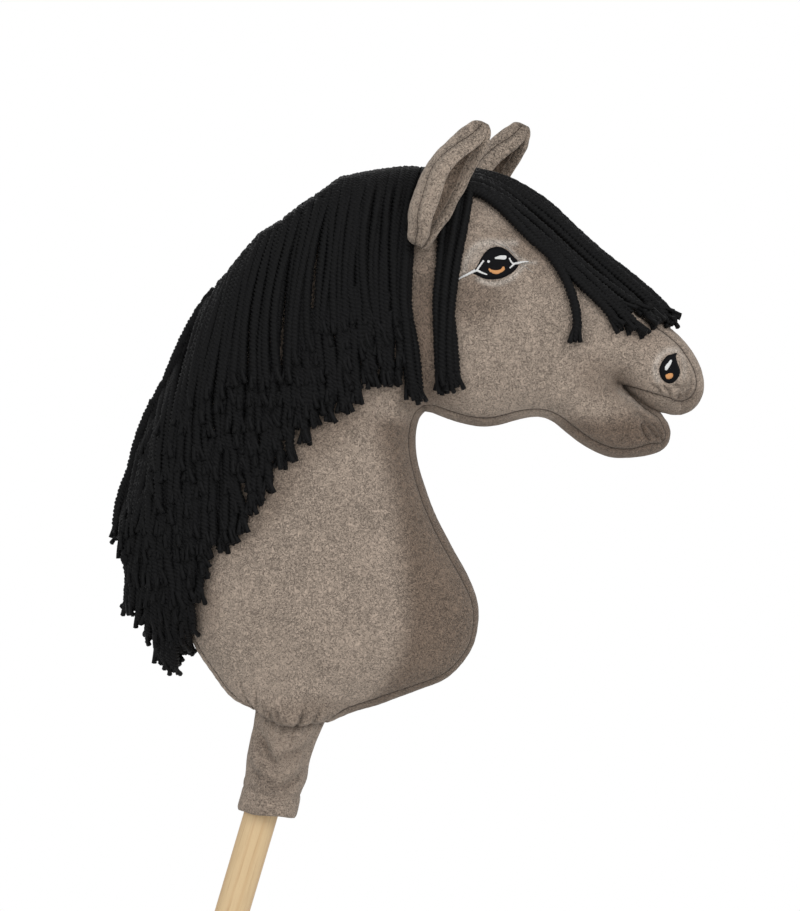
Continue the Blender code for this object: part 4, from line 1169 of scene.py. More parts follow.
def build_stuffing():
    """The filling, inside the panels and out of sight."""
    form = form_of(SEWN - FORM_NORMALS * STUFFING_DEPTH, HEAD_FACES)
    form.verts.ensure_lookup_table()
    form.faces.new([form.verts[i] for i in LOWER_EDGE][::-1])
    bmesh.ops.delete(form, geom=[v for v in form.verts if not v.link_faces], context="VERTS")
    ratio = min(1.0, STUFFING_POINTS / len(form.verts))
    piece = piece_from("stuffing", form, FILLING)
    piece.modifiers.new("coarser", "DECIMATE").ratio = ratio
    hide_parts("neck_filling", "head_filling", "muzzle_filling", "chin_filling")


def stitch_run(points, swing):
    """A row of stitches along points: a thread that is thinner where it dips into the cloth."""
    path = resampled(points, STITCH / 4)
    sizes = 1 - swing + swing * np.cos(np.arange(len(path)) * math.pi / 2)
    return path, sizes, np.zeros(len(path))


def build_seam_threads():
    """The stitching that shows at the bottom of each seam, dark brown partly as painted shadow in the
    seam's valley.
    """
    width = len(ACROSS) * 2 - 1
    for name, column in (("near", 0), ("far", width - 1)):
        index = [i * width + column for i in range(len(SEAMS[0]))]
        form = bmesh.new()
        swept(form, THREAD_RING, [stitch_run(SEWN[index] + FORM_NORMALS[index] * THREAD_LIFT, 0.35)])
        piece = piece_from(f"{name}_seam_thread", form, SEAM_THREAD)


def build_ear(side, name):
    """A padded leaf with a rounded rim, a stitched seam along its back, and a lining darkened as painted
    shade inside the cupped ear.
    """
    shift = FAR_EAR_SHIFT if side > 0 else (0.0, 0.0)
    up = Vector((EAR_LEAN, side * EAR_SPLAY, 1.0)).normalized()
    turn = math.radians(-side * EAR_TURN)
    forward = Vector((1.0, 0.0, 0.0))
    forward = (forward - up * forward.dot(up)).normalized()
    outwards = forward.cross(up) * -side
    open_way = (forward * math.cos(turn) + outwards * math.sin(turn)).normalized()
    across = up.cross(open_way).normalized()
    root = Vector((EAR_ROOT[0] + shift[0], side * EAR_ROOT[1], EAR_ROOT[2] + shift[1]))
    leaf = smooth_curve(EAR_LEAF, 1.0)

    def leaf_at(t):
        half, fold = (float(np.interp(t, leaf[:, 0], leaf[:, k])) for k in (1, 2))
        return half, half / fold

    def place(t, angle, lift, radius, rim):
        depth = radius * (math.cos(rim) - math.cos(angle)) + lift * math.cos(angle)
        spot = across * ((radius - lift) * math.sin(angle)) + open_way * depth
        flatter = EAR_TIP_FLATNESS * float(eased((t - EAR_TIP_FROM) / EAR_TIP_OVER))
        spot -= outwards * (spot.dot(outwards) * flatter)
        bend = float(np.interp(t, leaf[:, 0], leaf[:, 3]))
        return root + up * (EAR_LENGTH * t) + forward * bend + spot

    def skin(t, angle, lift, radius, rim):
        spot = place(t, angle, lift, radius, rim)
        lift += 0.9 * noise.noise(spot / 15.0) + 0.45 * noise.noise(spot / 6.0)
        return place(t, angle, lift, radius, rim)

    rows, seams, rim_seam = [], [], [[], []]
    for i in range(EAR_ROWS + 1):
        t = float(0.5 - 0.5 * math.cos(math.pi * i / EAR_ROWS))
        half, radius = leaf_at(t)
        rim = half / radius
        ring, seam = [], []
        for layer in (-1, 1):
            for j in range(EAR_COLUMNS + 1):
                share = math.sin(math.pi / 2 * (2 * j / EAR_COLUMNS - 1)) * -layer
                angle = share * rim
                inset = min((1 - abs(share)) * half, EAR_LENGTH * (1 - t) * 1.3,
                            EAR_LENGTH * t * 1.3 + 0.3)
                round_off = min(inset / (EAR_THICKNESS * EAR_ROUNDING), 1.0)
                thick = EAR_THICKNESS / 2 * math.sqrt(max(1 - (1 - round_off) ** 2, 0.0))
                lift = -EAR_THICKNESS / 2 + layer * thick
                mark = 0.0
                if layer < 0:
                    mark = math.exp(-((abs(share) - EAR_SEAM_SHARE) * half / 1.2) ** 2)
                    lift += 0.95 * mark
                ring.append(skin(t, angle, lift, radius, rim))
                # Painted shade in the valley of the ear's seam.
                seam.append(mark * 0.8)
            if layer < 0 and t < 0.985:
                where = EAR_SEAM_SHARE * half / radius
                for k, way in enumerate((-1, 1)):
                    rim_seam[k].append(skin(t, way * where, -EAR_THICKNESS + 0.75, radius, rim))
        rows.append(ring)
        seams.extend(seam)
    form = bmesh.new()
    made = skinned(form, rows)
    form.faces.new(made[-1])
    form.faces.new(made[0][::-1])
    flat = np.array([tuple(p) for ring in rows for p in ring])
    # The ear is darker towards its root.
    shade = 0.24 + 0.3 * eased((375 - flat[:, 2]) / 40.0)
    piece = piece_from(f"{name}_ear", form, EAR_PLUSH,
                       marks={"airbrush_and_shade": shade, "seam": seams})
    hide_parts(f"{name}_ear_shell")

    rows = []
    for i in range(LINING_ROWS + 1):
        t = LINING_FROM + LINING_SPAN * i / LINING_ROWS
        half, radius = leaf_at(t)
        rim = half / radius
        row = []
        for j in range(LINING_COLUMNS + 1):
            share = 2 * j / LINING_COLUMNS - 1
            angle = share * max(half - LINING_INSET, 1.0) / radius
            spot = place(t, angle, 0.5, radius, rim)
            ripple = 1.1 * noise.noise(spot / 11.0) + 0.5 * math.sin(share * 7 + t * 9)
            row.append(place(t, angle, 0.9 + 0.6 * ripple, radius, rim))
        rows.append(row)
    form = bmesh.new()
    skinned(form, rows, closed=False)
    # Painted shade: the lining is darkened inside the cupped ear.
    shade = np.full(len(form.verts), 0.75)
    piece = piece_from(f"{name}_ear_inside", form, EAR_PLUSH,
                       marks={"airbrush_and_shade": shade, "warmth": shade * 0.5})
    cloth_wall(piece, LINING_WALL)
    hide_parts(f"{name}_ear_lining")

    form = bmesh.new()
    swept(form, THREAD_RING, [stitch_run([tuple(p) for p in way], 0.3) for way in rim_seam])
    piece = piece_from(f"{name}_ear_thread", form, SEAM_THREAD)


def build_cuff():
    """A crumpled cloth tube with a folded hem, turned round the stick's axis."""
    top = STICK_BELOW_CUFF + CUFF_DROP + CUFF_TOP_HEIGHT - 0.3
    foot = STICK_BELOW_CUFF
    outside = [(CUFF_TOP, top), (CUFF_RADIUS + 2.2, top - 8), (CUFF_RADIUS + 0.4, top - 18),
               (CUFF_RADIUS - 0.8, foot + CUFF_HEM + 12), (CUFF_RADIUS - 1.3, foot + CUFF_HEM + 2.5),
               (CUFF_RADIUS - 1.7, foot + CUFF_HEM), (CUFF_RADIUS - 0.9, foot + CUFF_HEM - 2.5),
               (CUFF_RADIUS - 0.4, foot + 9.0), (CUFF_RADIUS - 0.6, foot + 2.8),
               (CUFF_RADIUS - 1.8, foot + 0.3), (CUFF_RADIUS - 2.8, foot + 1.0)]
    outside = resampled(smooth_curve(outside, 1.0), 1.5)
    inside = np.column_stack([outside[:, 0] - CUFF_WALL, outside[:, 1]])[::-1]
    inside = inside[(inside[:, 1] > foot + 2.0)]
    profile = np.vstack([outside, inside])
    form = bmesh.new()
    made = [form.verts.new((r, 0.0, z)) for r, z in profile]
    edges = [form.edges.new((a, b)) for a, b in zip(made, made[1:] + made[:1])]
    bmesh.ops.spin(form, geom=made + edges, cent=(0, 0, 0), axis=(0, 0, 1), angle=2 * math.pi,
                   steps=CUFF_STEPS, use_merge=True)
    bmesh.ops.remove_doubles(form, verts=form.verts, dist=1e-3)
    seam = []
    flat = np.array([LEAN_AXIS * (v.co.z - foot - CUFF_DROP) + LEAN_ACROSS * v.co.x for v in form.verts])
    folds = fold_marks(flat, CUFF_FOLDS, CUFF_FOLD_WIDTH)
    for v, crossing in zip(form.verts, folds):
        turn = math.atan2(v.co.y, v.co.x)
        up = v.co.z - foot
        spot = Vector((math.cos(turn), math.sin(turn), 0.0))
        crumple = noise.noise(Vector((spot.x * 1.3, spot.y * 1.3, up / 21.0 + turn * 0.5)))
        fold = float(crossing) * float(eased(abs(spot.y) * 1.4 - 0.2))
        middle = float(eased((up - CUFF_HEM + 4.0) / 14.0) * eased((CUFF_DROP + 4.0 - up) / 14.0))
        off = (0.35 + 0.65 * middle) * CUFF_CRUMPLE * crumple - CUFF_FOLD * fold
        off += CUFF_PLEAT * math.sin(8 * turn + 1.0) * float(eased((up - 48.0) / 20.0))
        height = v.co.z - foot - CUFF_DROP
        join = float(eased((height + 20.0) / 22.0))
        off = off * (1 - join) + (float(at_turn(turn, EDGE_REACH)) - JOIN_INSET - CUFF_TOP) * join
        v.co += spot * off
        v.co.z += (float(at_turn(turn, EDGE_HEIGHT)) - CUFF_TOP_HEIGHT + JOIN_LIFT) * join
        aside = float(eased(1 - up / (CUFF_DROP - 4.0)))
        v.co.x += CUFF_ASIDE * aside
        v.co.z += aside * CUFF_TILT * v.co.x + 1.4 * crumple * float(eased(1 - abs(up) / 10.0))
        # Painted shade along the hem, in the folds and in the crease under the neck's edge.
        seam.append(max(0.35 * math.exp(-((up - CUFF_HEM) / 2.0) ** 2), 0.45 * fold,
                        0.9 * math.exp(-((height - 3.0) / 4.0) ** 2)))
    bmesh.ops.scale(form, vec=(MM, MM, MM), verts=form.verts)
    bmesh.ops.rotate(form, cent=(0, 0, 0), matrix=Matrix.Rotation(STICK_LEAN, 3, "Y"), verts=form.verts)
    shade = np.full(len(form.verts), 0.22)
    piece = piece_from("cuff_cloth", form, PLUSH,
                       marks={"airbrush_and_shade": shade, "seam": seam})
    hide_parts("cuff")


# Embroidery: outlines in pixels of the photograph

EYE = [(472.8, 272.5), (477, 266), (482, 256.5), (488, 249.5), (495, 246.8), (501.5, 247.2),
       (508, 251), (514, 257), (519, 263), (516.5, 268.5), (511, 273.5), (503, 277.8), (494.5, 279.3),
       (485, 278.8), (478, 275.8)]
IRIS = [(487, 266.5), (491.5, 269.3), (496.5, 270), (500.5, 268.6), (503, 265.6), (505, 267.6),
        (504.3, 271), (500, 273.8), (496, 274.9), (491.5, 273.6), (488.2, 270.8)]
GLINT = [(492.7, 259.3), (495.5, 256.8), (500.5, 255.3), (506, 255.6), (506.8, 258.4), (504.4, 260.4),
         (498.5, 260)]
EYE_DOT = [(486, 261.7), (488.2, 259.4), (490.4, 261.7), (488.2, 264)]
NOSTRIL = [(676.6, 353.1), (675.8, 357), (677.1, 362.9), (679.8, 370.5), (678.2, 377), (673.9, 381.9),
           (668.5, 383.3), (663, 380.3), (659.8, 374.8), (659.2, 368.3), (662, 361.8), (666.8, 355.9),
           (671.7, 354.2)]
NOSTRIL_GLINT = [(669.5, 359.6), (671.6, 360.4), (670.6, 364.5), (668, 369), (665.6, 371.2),
                 (663.6, 370), (664, 366.8), (666.6, 363)]
NOSTRIL_SPOT = [(664.6, 374.6), (668.4, 372.8), (672.4, 373.2), (672.2, 377), (669, 379.4),
                (665.4, 378.4)]
WHITE_LINES = [([(483.4, 260.8), (479.2, 266.6), (475.8, 271.6)], 0.7, 0.8),
               ([(476.5, 270.2), (481, 272.6), (487, 274.8)], 1.0, 0.45),
               ([(475, 270.6), (470, 273.2), (465, 275.8)], 1.15, 0.8),
               ([(467, 274.8), (462, 277), (458.2, 279.6)], 0.95, 0.5),
               ([(509, 258.4), (510.6, 261.6), (513, 264), (518.6, 263)], 0.55, 0.85),
               ([(514, 264), (511.5, 266.5), (509.4, 268.4)], 0.8, 0.5),
               ([(517, 263.6), (522, 262.4), (528, 262)], 1.0, 0.35)]
PALE_LINES = [([(499.3, 243.9), (505, 246.4), (511.5, 251.5), (517, 258.5), (524, 263.5), (533, 262.6)],
               0.35, 0.2),
              ([(521, 265), (527, 268), (533, 273)], 0.3, 0.12)]


def stitched_patch(name, pixels, side, lift, height, made_of, replaced):
    """Satin stitches over an outline, crowned in the middle and sunk into the plush at the edge."""
    outline = smooth_curve(near_face(pixels), 0.9, closed=True)
    flat, faces = filled(outline, 1.3)
    inset = line_distance(flat, np.vstack([outline, outline[:1]]))
    raised = lift + height * (1 - np.exp(-inset / 0.7))
    upper = on_plush(flat, side, raised)
    lower = on_plush(flat, side, -0.9)
    form = bmesh.new()
    top = [form.verts.new(tuple(v)) for v in in_metres(upper)]
    low = [form.verts.new(tuple(v)) for v in in_metres(lower)]
    for face in faces:
        form.faces.new([top[i] for i in face])
        form.faces.new([low[i] for i in face[::-1]])
    count = len(outline)
    for i in range(count):
        k = (i + 1) % count
        form.faces.new((top[i], top[k], low[k], low[i]))
    piece = piece_from(name, form, made_of)
    if replaced:
        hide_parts(replaced)


def stitched_lines(name, lines, side, lift, made_of):
    """Narrow rows of thread that taper to their ends."""
    runs = []
    for pixels, first, last in lines:
        flat = resampled(smooth_curve(near_face(pixels), 0.8), 0.7)
        path = on_plush(flat, side, lift)
        sizes = np.linspace(first, last, len(flat)) * (1 + 0.18 * np.sin(np.arange(len(flat)) * 2.1))
        runs.append((path, sizes, np.zeros(len(flat))))
    form = bmesh.new()
    swept(form, LINE_RING, runs)
    piece = piece_from(name, form, made_of)


# Each patch's name, outline, lift, height, finish, slot and the node that it stands for
PATCHES = [("eye_satin", EYE, 0.1, 1.0, BLACK_SATIN, "thread_black", "eye"),
           ("iris_satin", IRIS, 0.9, 0.8, ORANGE_SATIN, "thread_orange", "iris"),
           ("glint_satin", GLINT, 0.9, 0.8, WHITE_SATIN, "thread_white", "eye_glint"),
           ("eye_dot", EYE_DOT, 0.9, 0.8, WHITE_SATIN, "thread_white", None),
           ("nostril_satin", NOSTRIL, 0.1, 1.0, BLACK_SATIN, "thread_black", "nostril"),
           ("nostril_glint", NOSTRIL_GLINT, 0.9, 0.8, WHITE_SATIN, "thread_white", None),
           ("nostril_satin_spot", NOSTRIL_SPOT, 0.9, 0.8, ORANGE_SATIN, "thread_orange",
            "nostril_spot")]


def build_face():
    for side, name in SIDES:
        for part, pixels, lift, height, made_of, slot, replaced in PATCHES:
            stitched_patch(f"{name}_{part}", pixels, side, lift, height, made_of,
                           replaced and f"{name}_{replaced}")
        stitched_lines(f"{name}_eye_lines", WHITE_LINES, side, 1.2, WHITE_SATIN)
        stitched_lines(f"{name}_brow_lines", PALE_LINES, side, 0.25, PALE_THREAD)


# Yarn: three-ply strands that end in splayed plies

def ply_section(radii):
    """The cross-section that a strand is swept from: a ring of radii in millimetres."""
    curve = bpy.data.curves.new("section", "CURVE")
    curve.dimensions = "2D"
    ring = curve.splines.new("POLY")
    ring.points.add(len(radii) - 1)
    for i, (point, radius) in enumerate(zip(ring.points, radii)):
        turn = 2 * math.pi * i / len(radii)
        point.co = (radius * MM * math.cos(turn), radius * MM * math.sin(turn), 0.0, 1.0)
    ring.use_cyclic_u = True
    return linked("section", curve)


TREFOIL = [STRAND_RADIUS * (PLY_VALLEY if i % 3 == 0 else 1.0) for i in range(9)]
ROUND_PLY = [PLY_RADIUS] * 6


def swept(form, radii, runs):
    """Adds to a bmesh what a section makes when it is swept along many paths."""
    section = ply_section(radii)
    curve = bpy.data.curves.new("sweep", "CURVE")
    curve.dimensions = "3D"
    curve.bevel_mode = "OBJECT"
    curve.bevel_object = section
    curve.use_fill_caps = True
    curve.twist_mode = "MINIMUM"
    for points, sizes, tilts in runs:
        run = curve.splines.new("POLY")
        run.points.add(len(points) - 1)
        places = np.column_stack([in_metres(points), np.ones(len(points))])
        run.points.foreach_set("co", places.ravel())
        run.points.foreach_set("radius", np.asarray(sizes, float))
        run.points.foreach_set("tilt", np.asarray(tilts, float))
    holder = linked("sweep", curve)
    ready = holder.evaluated_get(bpy.context.evaluated_depsgraph_get())
    mesh = bpy.data.meshes.new_from_object(ready)
    sizes = [len(points) * len(radii) for points, _, _ in runs]
    if len(mesh.vertices) == sum(sizes):
        low, high = min(radii), max(radii)
        deep = [(high - r) / max(high - low, SHALLOWEST_GROOVE) for r in radii]
        groove_shade = np.tile(deep, sum(sizes) // len(radii))
        shade = np.repeat([rng.random() for _ in runs], sizes)
        for label, values in (("groove_shade", groove_shade), ("strand", shade)):
            layer = mesh.attributes.new(label, "FLOAT", "POINT")
            layer.data.foreach_set("value", np.array(values, dtype=np.float32))
    form.from_mesh(mesh)
    for item in (holder, section):
        data = item.data
        bpy.data.objects.remove(item)
        bpy.data.curves.remove(data)
    bpy.data.meshes.remove(mesh)


def perpendicular(direction):
    helper = np.array([0.0, 1.0, 0.0]) if abs(direction[1]) < 0.8 else np.array([1.0, 0.0, 0.0])
    first = np.cross(direction, helper)
    first /= np.linalg.norm(first)
    return first, np.cross(direction, first)


def yarn_runs(points):
    """The twisted run of a strand along a path, and the runs of its three ply ends."""
    path = resampled(smooth_curve(points, RING_STEP), RING_STEP)
    count = len(path)
    start = rng.uniform(0, 2 * math.pi)
    tilts = start - 2 * math.pi * RING_STEP / PLY_TURN * np.arange(count)
    tail = np.clip((np.arange(count) - (count - 1)) * RING_STEP + FRAY, 0, FRAY) / FRAY
    sizes = 1.0 + 0.03 * np.sin(np.arange(count) * 0.6 + start) - 0.4 * tail ** 2
    aim = path[-1] - path[max(count - 5, 0)]
    aim /= np.linalg.norm(aim) + 1e-9
    first, second = perpendicular(aim)
    plies = []
    for k in range(3):
        spread = SPLAY * rng.uniform(0.8, 1.2)
        length = rng.uniform(-1.2, 1.6)
        turn = start + 2 * math.pi * k / 3 + rng.uniform(-0.35, 0.35)
        run = []
        for share in (0.0, 0.3, 0.55, 0.8, 1.0):
            out = PLY_RADIUS + (spread - PLY_RADIUS) * share ** 1.3
            angle = turn - 0.9 * share
            along = -FRAY + (FRAY + length) * share
            base = path[-1] + aim * along
            run.append(base + (first * math.cos(angle) + second * math.sin(angle)) * out)
        plies.append((np.array(run), (1.0, 0.95, 0.92, 1.0, 1.16), np.zeros(5)))
    return (path, sizes, tilts), plies


def yarn_piece(name, paths, replaced):
    """One piece of yarn from the paths of its strands."""
    twisted, plies = [], []
    for points in paths:
        run, ends = yarn_runs(points)
        twisted.append(run)
        plies.extend(ends)
    form = bmesh.new()
    swept(form, TREFOIL, twisted)
    swept(form, ROUND_PLY, plies)
    bmesh.ops.remove_doubles(form, verts=form.verts, dist=1e-6)
    made = piece_from(name, form, YARN)
    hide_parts(replaced)


# The mane: where strands leave its edge, where the topmost end, and where the lowest end
MANE_ROOTS = [(430, 167), (421, 166), (404, 165), (381, 168), (363, 171), (340, 176), (322, 189),
              (301, 203), (279, 220), (258, 233), (243, 250), (225, 273), (207, 291), (194, 309),
              (184, 330), (176, 355), (166, 373), (151, 393), (143, 419), (138, 442), (128, 465)]
TOP_ENDS = [(409, 322), (404, 320), (394, 322), (377, 332), (352, 326), (326, 330), (297, 362),
            (281, 386), (255, 388), (228, 388), (207, 400), (184, 418), (166, 436), (150, 450),
            (143, 458), (134, 478), (129, 492), (125, 506), (121, 518), (118, 527), (116, 533)]
LOW_ENDS = [(402, 378), (400, 381), (386, 381), (368, 398), (345, 412), (323, 422), (305, 446),
            (284, 467), (264, 494), (248, 526), (229, 546), (206, 566), (190, 640), (177, 668),
            (160, 658), (148, 641), (136, 620), (127, 603), (124, 588), (121, 565), (116, 537)]


def mane_paths():
    """Side-view paths of one side's strands, with the row that each belongs to."""
    roots, tops, lows = from_photo(MANE_ROOTS), from_photo(TOP_ENDS), from_photo(LOW_ENDS)
    u = np.linspace(0, len(roots) - 1, EDGE_SAMPLES)
    knots = np.arange(len(roots))
    root, top, low = (np.column_stack([np.interp(u, knots, chain[:, k]) for k in (0, 1)])
                      for chain in (roots, tops, lows))
    edge_way = np.gradient(root, axis=0)
    inset = np.column_stack([edge_way[:, 1], -edge_way[:, 0]])
    inset /= -np.linalg.norm(inset, axis=1)[:, None]
    flow = top - root
    flow /= np.linalg.norm(flow, axis=1)[:, None]
    middle = (root + top) / 2
    step = np.diff(middle, axis=0)
    across = np.abs(step[:, 0] * flow[:-1, 1] - step[:, 1] * flow[:-1, 0])
    reach = np.r_[0.0, np.cumsum(across)]
    made = []
    count = round(reach[-1] / STRAND_PITCH)
    for i in range(count + 1):
        for row in range(MOST_ROWS):
            at = (i + (0.5 if row % 2 else 0.0) + rng.uniform(-STRAND_JITTER, STRAND_JITTER)) * STRAND_PITCH
            k = int(np.clip(np.searchsorted(reach, at), 0, len(u) - 1))
            rows = 1 + math.ceil(np.linalg.norm(low[k] - top[k]) / ROW_STEP)
            if row >= rows:
                break
            share = row / max(rows - 1, 1)
            start = root[k] + inset[k] * STRAND_RADIUS
            tip = top[k] + (low[k] - top[k]) * share
            tip = tip + np.array([rng.uniform(-1.5, 1.5), rng.uniform(-4.5, 4.5)])
            made.append((start, tip, row, share, 1.0))
    return made


# Rows of strands that hang free behind the neck: starts, ends and how many
HANGING_ROWS = [([(206, 440), (238, 432)], [(200, 556), (234, 540)], 5),
                ([(150, 420), (212, 440)], [(121, 535), (197, 534)], 11),
                ([(152, 430), (214, 450)], [(121, 561), (205, 555)], 11),
                ([(154, 450), (210, 470)], [(130, 586), (202, 578)], 10),
                ([(158, 470), (202, 490)], [(126, 609), (191, 602)], 9),
                ([(162, 490), (198, 505)], [(140, 623), (187, 620)], 8),
                ([(166, 510), (194, 520)], [(148, 641), (184, 636)], 6),
                ([(170, 530), (188, 535)], [(160, 658), (175, 667)], 4),
                ([(178, 545), (184, 550)], [(184, 650), (189, 650)], 2)]


def hanging_paths():
    made = []
    for row, (starts, ends, count) in enumerate(HANGING_ROWS):
        starts, ends = from_photo(starts), from_photo(ends)
        for i in range(count):
            at = np.clip((i + rng.uniform(-0.25, 0.25)) / max(count - 1, 1), 0, 1)
            start = starts[0] + (starts[1] - starts[0]) * at
            tip = ends[0] + (ends[1] - ends[0]) * at
            tip = tip + np.array([rng.uniform(-1.0, 1.0), rng.uniform(-3.0, 3.0)])
            made.append((start, tip, 0, 0.7 + 0.05 * row, 1.0))
            if row and i % 2:
                made.append((start, tip, 0, 1.0, rng.uniform(0.1, 0.75)))
    return made


def strand_curve(start, tip, row):
    """A hanging strand's side-view curve: out along the flow of the mane, then down."""
    length = np.linalg.norm(tip - start)
    lean = math.atan2(start[0] - tip[0], start[1] - tip[1])
    leaving = lean + LEAVING_TURN
    arriving = lean - ARRIVING_TURN
    bend = rng.uniform(-STRAND_BEND, STRAND_BEND)
    a = start + CURVE_HANDLE * length * np.array([-math.sin(leaving + bend), -math.cos(leaving + bend)])
    b = tip + CURVE_HANDLE * length * np.array([math.sin(arriving - bend), math.cos(arriving - bend)])
    whole = row < 2 or (row < 5 and start[0] < WHOLE_STRANDS_BEHIND)
    first = 0.0 if whole else max(0.0, 1 - (ROW_STEP + HIDDEN_LENGTH) / length)
    count = WHOLE_POINTS if whole else PART_POINTS
    t = np.linspace(0, 1, count) ** (ROOT_BUNCHING if first == 0.0 else 1.0)
    t = (first + (1 - first) * t)[:, None]
    return ((1 - t) ** 3 * start + 3 * (1 - t) ** 2 * t * a + 3 * (1 - t) * t ** 2 * b
            + t ** 3 * tip)


def build_mane(side, name):
    """One side of the mane: rows of strands over each other, grouped as the part's locks are."""
    strands = mane_paths() + hanging_paths()
    curves = [strand_curve(start, tip, row) for start, tip, row, _, _ in strands]
    flat = np.vstack(curves)
    inner = half_width(flat, -STRAND_RADIUS, MANE_OUTLINE)
    neck = half_width(flat, STRAND_RADIUS + LAID_LIFT)
    deep = np.clip(edge_distance(flat, MANE_OUTLINE) - STRAND_RADIUS, 0, None)
    shoulder = 1 - np.exp(-deep / SHOULDER_DEPTH)
    locks = [[] for _ in range(MANE_LOCKS)]
    offset = 0
    for curve, (start, tip, row, share, spread) in zip(curves, strands):
        part = slice(offset, offset + len(curve))
        offset += len(curve)
        pile = MANE_PILE * (1 - PILE_FALL * share) + rng.uniform(-PILE_JITTER, PILE_JITTER)
        pile -= EAR_GIVE * float(eased((start[0] - BEHIND_EAR) / EAR_GIVE_OVER))
        width = (inner[part] + pile * shoulder[part]) * spread
        width = np.maximum(width, neck[part] * (deep[part] > 0))
        wave = np.linspace(rng.uniform(0, 6), rng.uniform(8, 13), len(curve))
        wobble = rng.uniform(0.3, 1.5) * np.sin(wave) * (0.2 + 0.8 * shoulder[part])
        curve = as_seen(curve, width)
        path = np.column_stack([curve[:, 0] + wobble, side * width, curve[:, 1]])
        if deep[part][0] < AT_PARTING:
            path = np.vstack([(start[0], -side * OVER_PARTING, start[1]), path[2:]])
        place = (curve[:, 0].mean() - MANE_FIRST) / (MANE_LAST - MANE_FIRST) * MANE_LOCKS
        locks[int(np.clip(place, 0, MANE_LOCKS - 1))].append(path)
    for i, paths in enumerate(locks, 1):
        yarn_piece(f"mane_yarn_{name}_{i}", paths, f"mane_{name}_{i}")


# Strands laid on the head: their pixels in the photograph, and how far across they lie at least
FORELOCK_STRANDS = {
    1: [([(431, 190), (470, 191), (486, 197), (502, 209), (529, 236), (554, 258), (579, 282), (603, 305),
          (621, 328)], 20, 22),
        ([(431, 186), (470, 187), (484, 190), (501, 202), (528, 228), (548, 252), (564, 276), (574, 302),
          (577, 324), (574, 342)], 18, 18),
        ([(431, 184), (470, 186), (484, 190), (502, 204), (533, 232), (562, 261), (592, 289), (618, 311),
          (633, 331)], 18, 20)],
    2: [([(431, 180), (470, 181), (486, 185), (510, 200), (540, 227), (567, 255), (596, 285), (623, 312),
          (646, 335)], 14, 17),
        ([(431, 176), (470, 177), (492, 183), (517, 198), (548, 222), (579, 251), (611, 280), (638, 305),
          (657, 325)], 11, 13),
        ([(431, 188), (470, 189), (484, 194), (505, 207), (532, 229), (560, 253), (586, 275), (612, 297),
          (632, 313)], 13, 15)],
    3: [([(431, 173), (470, 173), (492, 178), (514, 186.5), (546, 206.5), (575, 233), (602, 257),
          (628, 279), (656, 303), (669, 317)], 3, 3.5),
        ([(431, 178), (470, 179), (492, 186), (514, 196), (546, 217), (575, 243), (602, 267),
          (628, 289), (648, 308), (660, 322)], 3, 5),
        ([(431, 176), (470, 177), (492, 183), (514, 192), (546, 212), (575, 239), (602, 263),
          (628, 285), (652, 306), (664, 320)], 7, 9),
        ([(431, 174), (470, 174), (492, 180), (514, 189), (546, 209), (574, 234), (601, 258), (628, 280),
          (656, 305), (672, 324)], 5, 7),
        ([(431, 172), (470, 172), (492, 176), (514, 184), (546, 204), (575, 231), (602, 255), (628, 275),
          (656, 299), (676, 321)], 0, 1),
        ([(431, 186), (472, 186), (488, 191), (510, 204), (540, 226), (566, 250), (592, 273), (620, 294),
          (645, 312)], 4, 5)],
}
SIDE_STRANDS = {
    "rear": [([(405, 226), (401, 262), (402, 300), (405, 344), (411, 396)], 0.2),
             ([(411, 228), (408, 275), (408, 310), (415, 350), (420, 401)], 0.2),
             ([(408, 232), (404, 290), (407, 330), (411, 370), (416, 399)], 3.2)],
    "front": [([(447, 196), (442, 235), (440, 265), (437, 300), (438, 340), (440, 389)], -0.8),
              ([(455, 188), (450, 226), (446, 262), (442, 298), (446, 342), (447, 393)], -0.6),
              ([(465, 180), (460, 218), (455, 255), (449, 296), (453, 338), (457, 387)], -0.8),
              ([(470, 178), (467, 205), (462, 234), (456, 266), (451, 305), (449, 345), (451, 388)], 0.8),
              ([(459, 184), (456, 212), (451, 245), (446, 280), (443, 320), (442, 360), (443, 384)], 1.6)],
}


def laid_path(pixels, side, first, last, lift=LAID_LIFT):
    """A strand's path over the plush: across by at least the given amounts, and on the surface."""
    flat = smooth_curve(from_photo(pixels), LAID_STEP)
    least = np.linspace(first, last, len(flat))
    width = np.maximum(least, half_width(flat, STRAND_RADIUS + lift))
    flat = as_seen(flat, width)
    width = np.maximum(least, half_width(flat, STRAND_RADIUS + lift))
    return np.column_stack([flat[:, 0], side * width, flat[:, 1]])


def build_laid_strands():
    for side, name in SIDES:
        for part, strands in SIDE_STRANDS.items():
            paths = [laid_path(pixels, side, 0.0, 0.0, lift) for pixels, lift in strands]
            yarn_piece(f"{part}_lock_{name}_yarn", paths, f"{part}_lock_{name}")
        for number, strands in FORELOCK_STRANDS.items():
            part = number if side < 0 else 7 - number
            paths = [laid_path(pixels, side, first, last) for pixels, first, last in strands]
            yarn_piece(f"forelock_yarn_{part}", paths, f"forelock_{part}")


build_gathered_base()
build_stuffing()
for side, name in SIDES:
    build_ear(side, name)
build_cuff()
build_seam_threads()
build_face()
for side, name in SIDES:
    build_mane(side, name)
build_laid_strands()

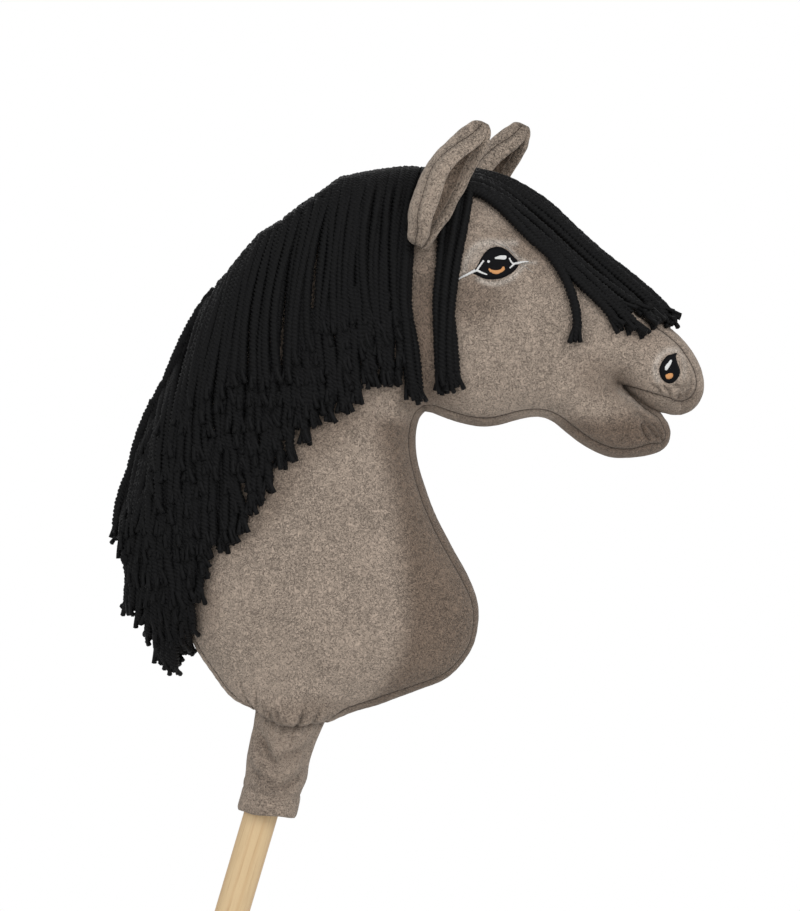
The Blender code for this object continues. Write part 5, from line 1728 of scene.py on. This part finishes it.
refinish("stick", PINE)
refinish("stick_pocket", CANVAS)
refinish("crest_tape", TAPE)


# Camera, lights and floor

def build_camera():
    data = bpy.data.cameras.new("camera")
    data.sensor_width = SENSOR
    data.lens = SENSOR * VIEW_DISTANCE / VIEW_HEIGHT
    made = linked("camera", data)
    made.location = VIEW_AT - Vector((0.0, VIEW_DISTANCE, 0.0))
    made.rotation_euler = (math.pi / 2, 0.0, 0.0)
    bpy.context.scene.camera = made


def build_lamp(name, place, size, power):
    data = bpy.data.lights.new(name, "AREA")
    data.shape = "DISK"
    data.size = size
    data.energy = power
    made = linked(name, data)
    made.location = place
    made.rotation_euler = (VIEW_AT - Vector(place)).to_track_quat("-Z", "Y").to_euler()


def build_world():
    """White where the camera sees it, and a plain soft fill on the object."""
    world = bpy.data.worlds.new("studio")
    bpy.context.scene.world = world
    world.use_nodes = True
    tree = world.node_tree
    tree.nodes.clear()
    paths = tree.nodes.new("ShaderNodeLightPath").outputs
    seen = calc(tree, "MAXIMUM", paths["Is Camera Ray"], paths["Is Transmission Ray"])
    strength = calc(tree, "MAXIMUM", seen, SKY_FILL)
    sky = node(tree, "ShaderNodeBackground", Color=(1.0, 1.0, 1.0, 1.0), Strength=strength)
    node(tree, "ShaderNodeOutputWorld", Surface=sky.outputs[0])


def build_floor():
    form = bmesh.new()
    bmesh.ops.create_circle(form, cap_ends=True, segments=96, radius=FLOOR_RADIUS)
    bmesh.ops.translate(form, vec=(VIEW_AT.x, 0.0, FLOOR_HEIGHT), verts=form.verts)
    mesh = bpy.data.meshes.new("floor")
    form.to_mesh(mesh)
    form.free()
    made, tree, shader, place = finish("pale_floor")
    cloud = speckle(tree, place, 3.0, 3.0)
    feed(tree, shader, {"Base Color": mixed(tree, cloud, (0.80, 0.80, 0.80), (0.84, 0.84, 0.83)),
                        "Roughness": 0.8})
    mesh.materials.append(made)
    linked("floor", mesh)


build_camera()
for lamp in LAMPS:
    build_lamp(*lamp)
build_world()
build_floor()
bpy.context.scene.view_settings.view_transform = "Standard"
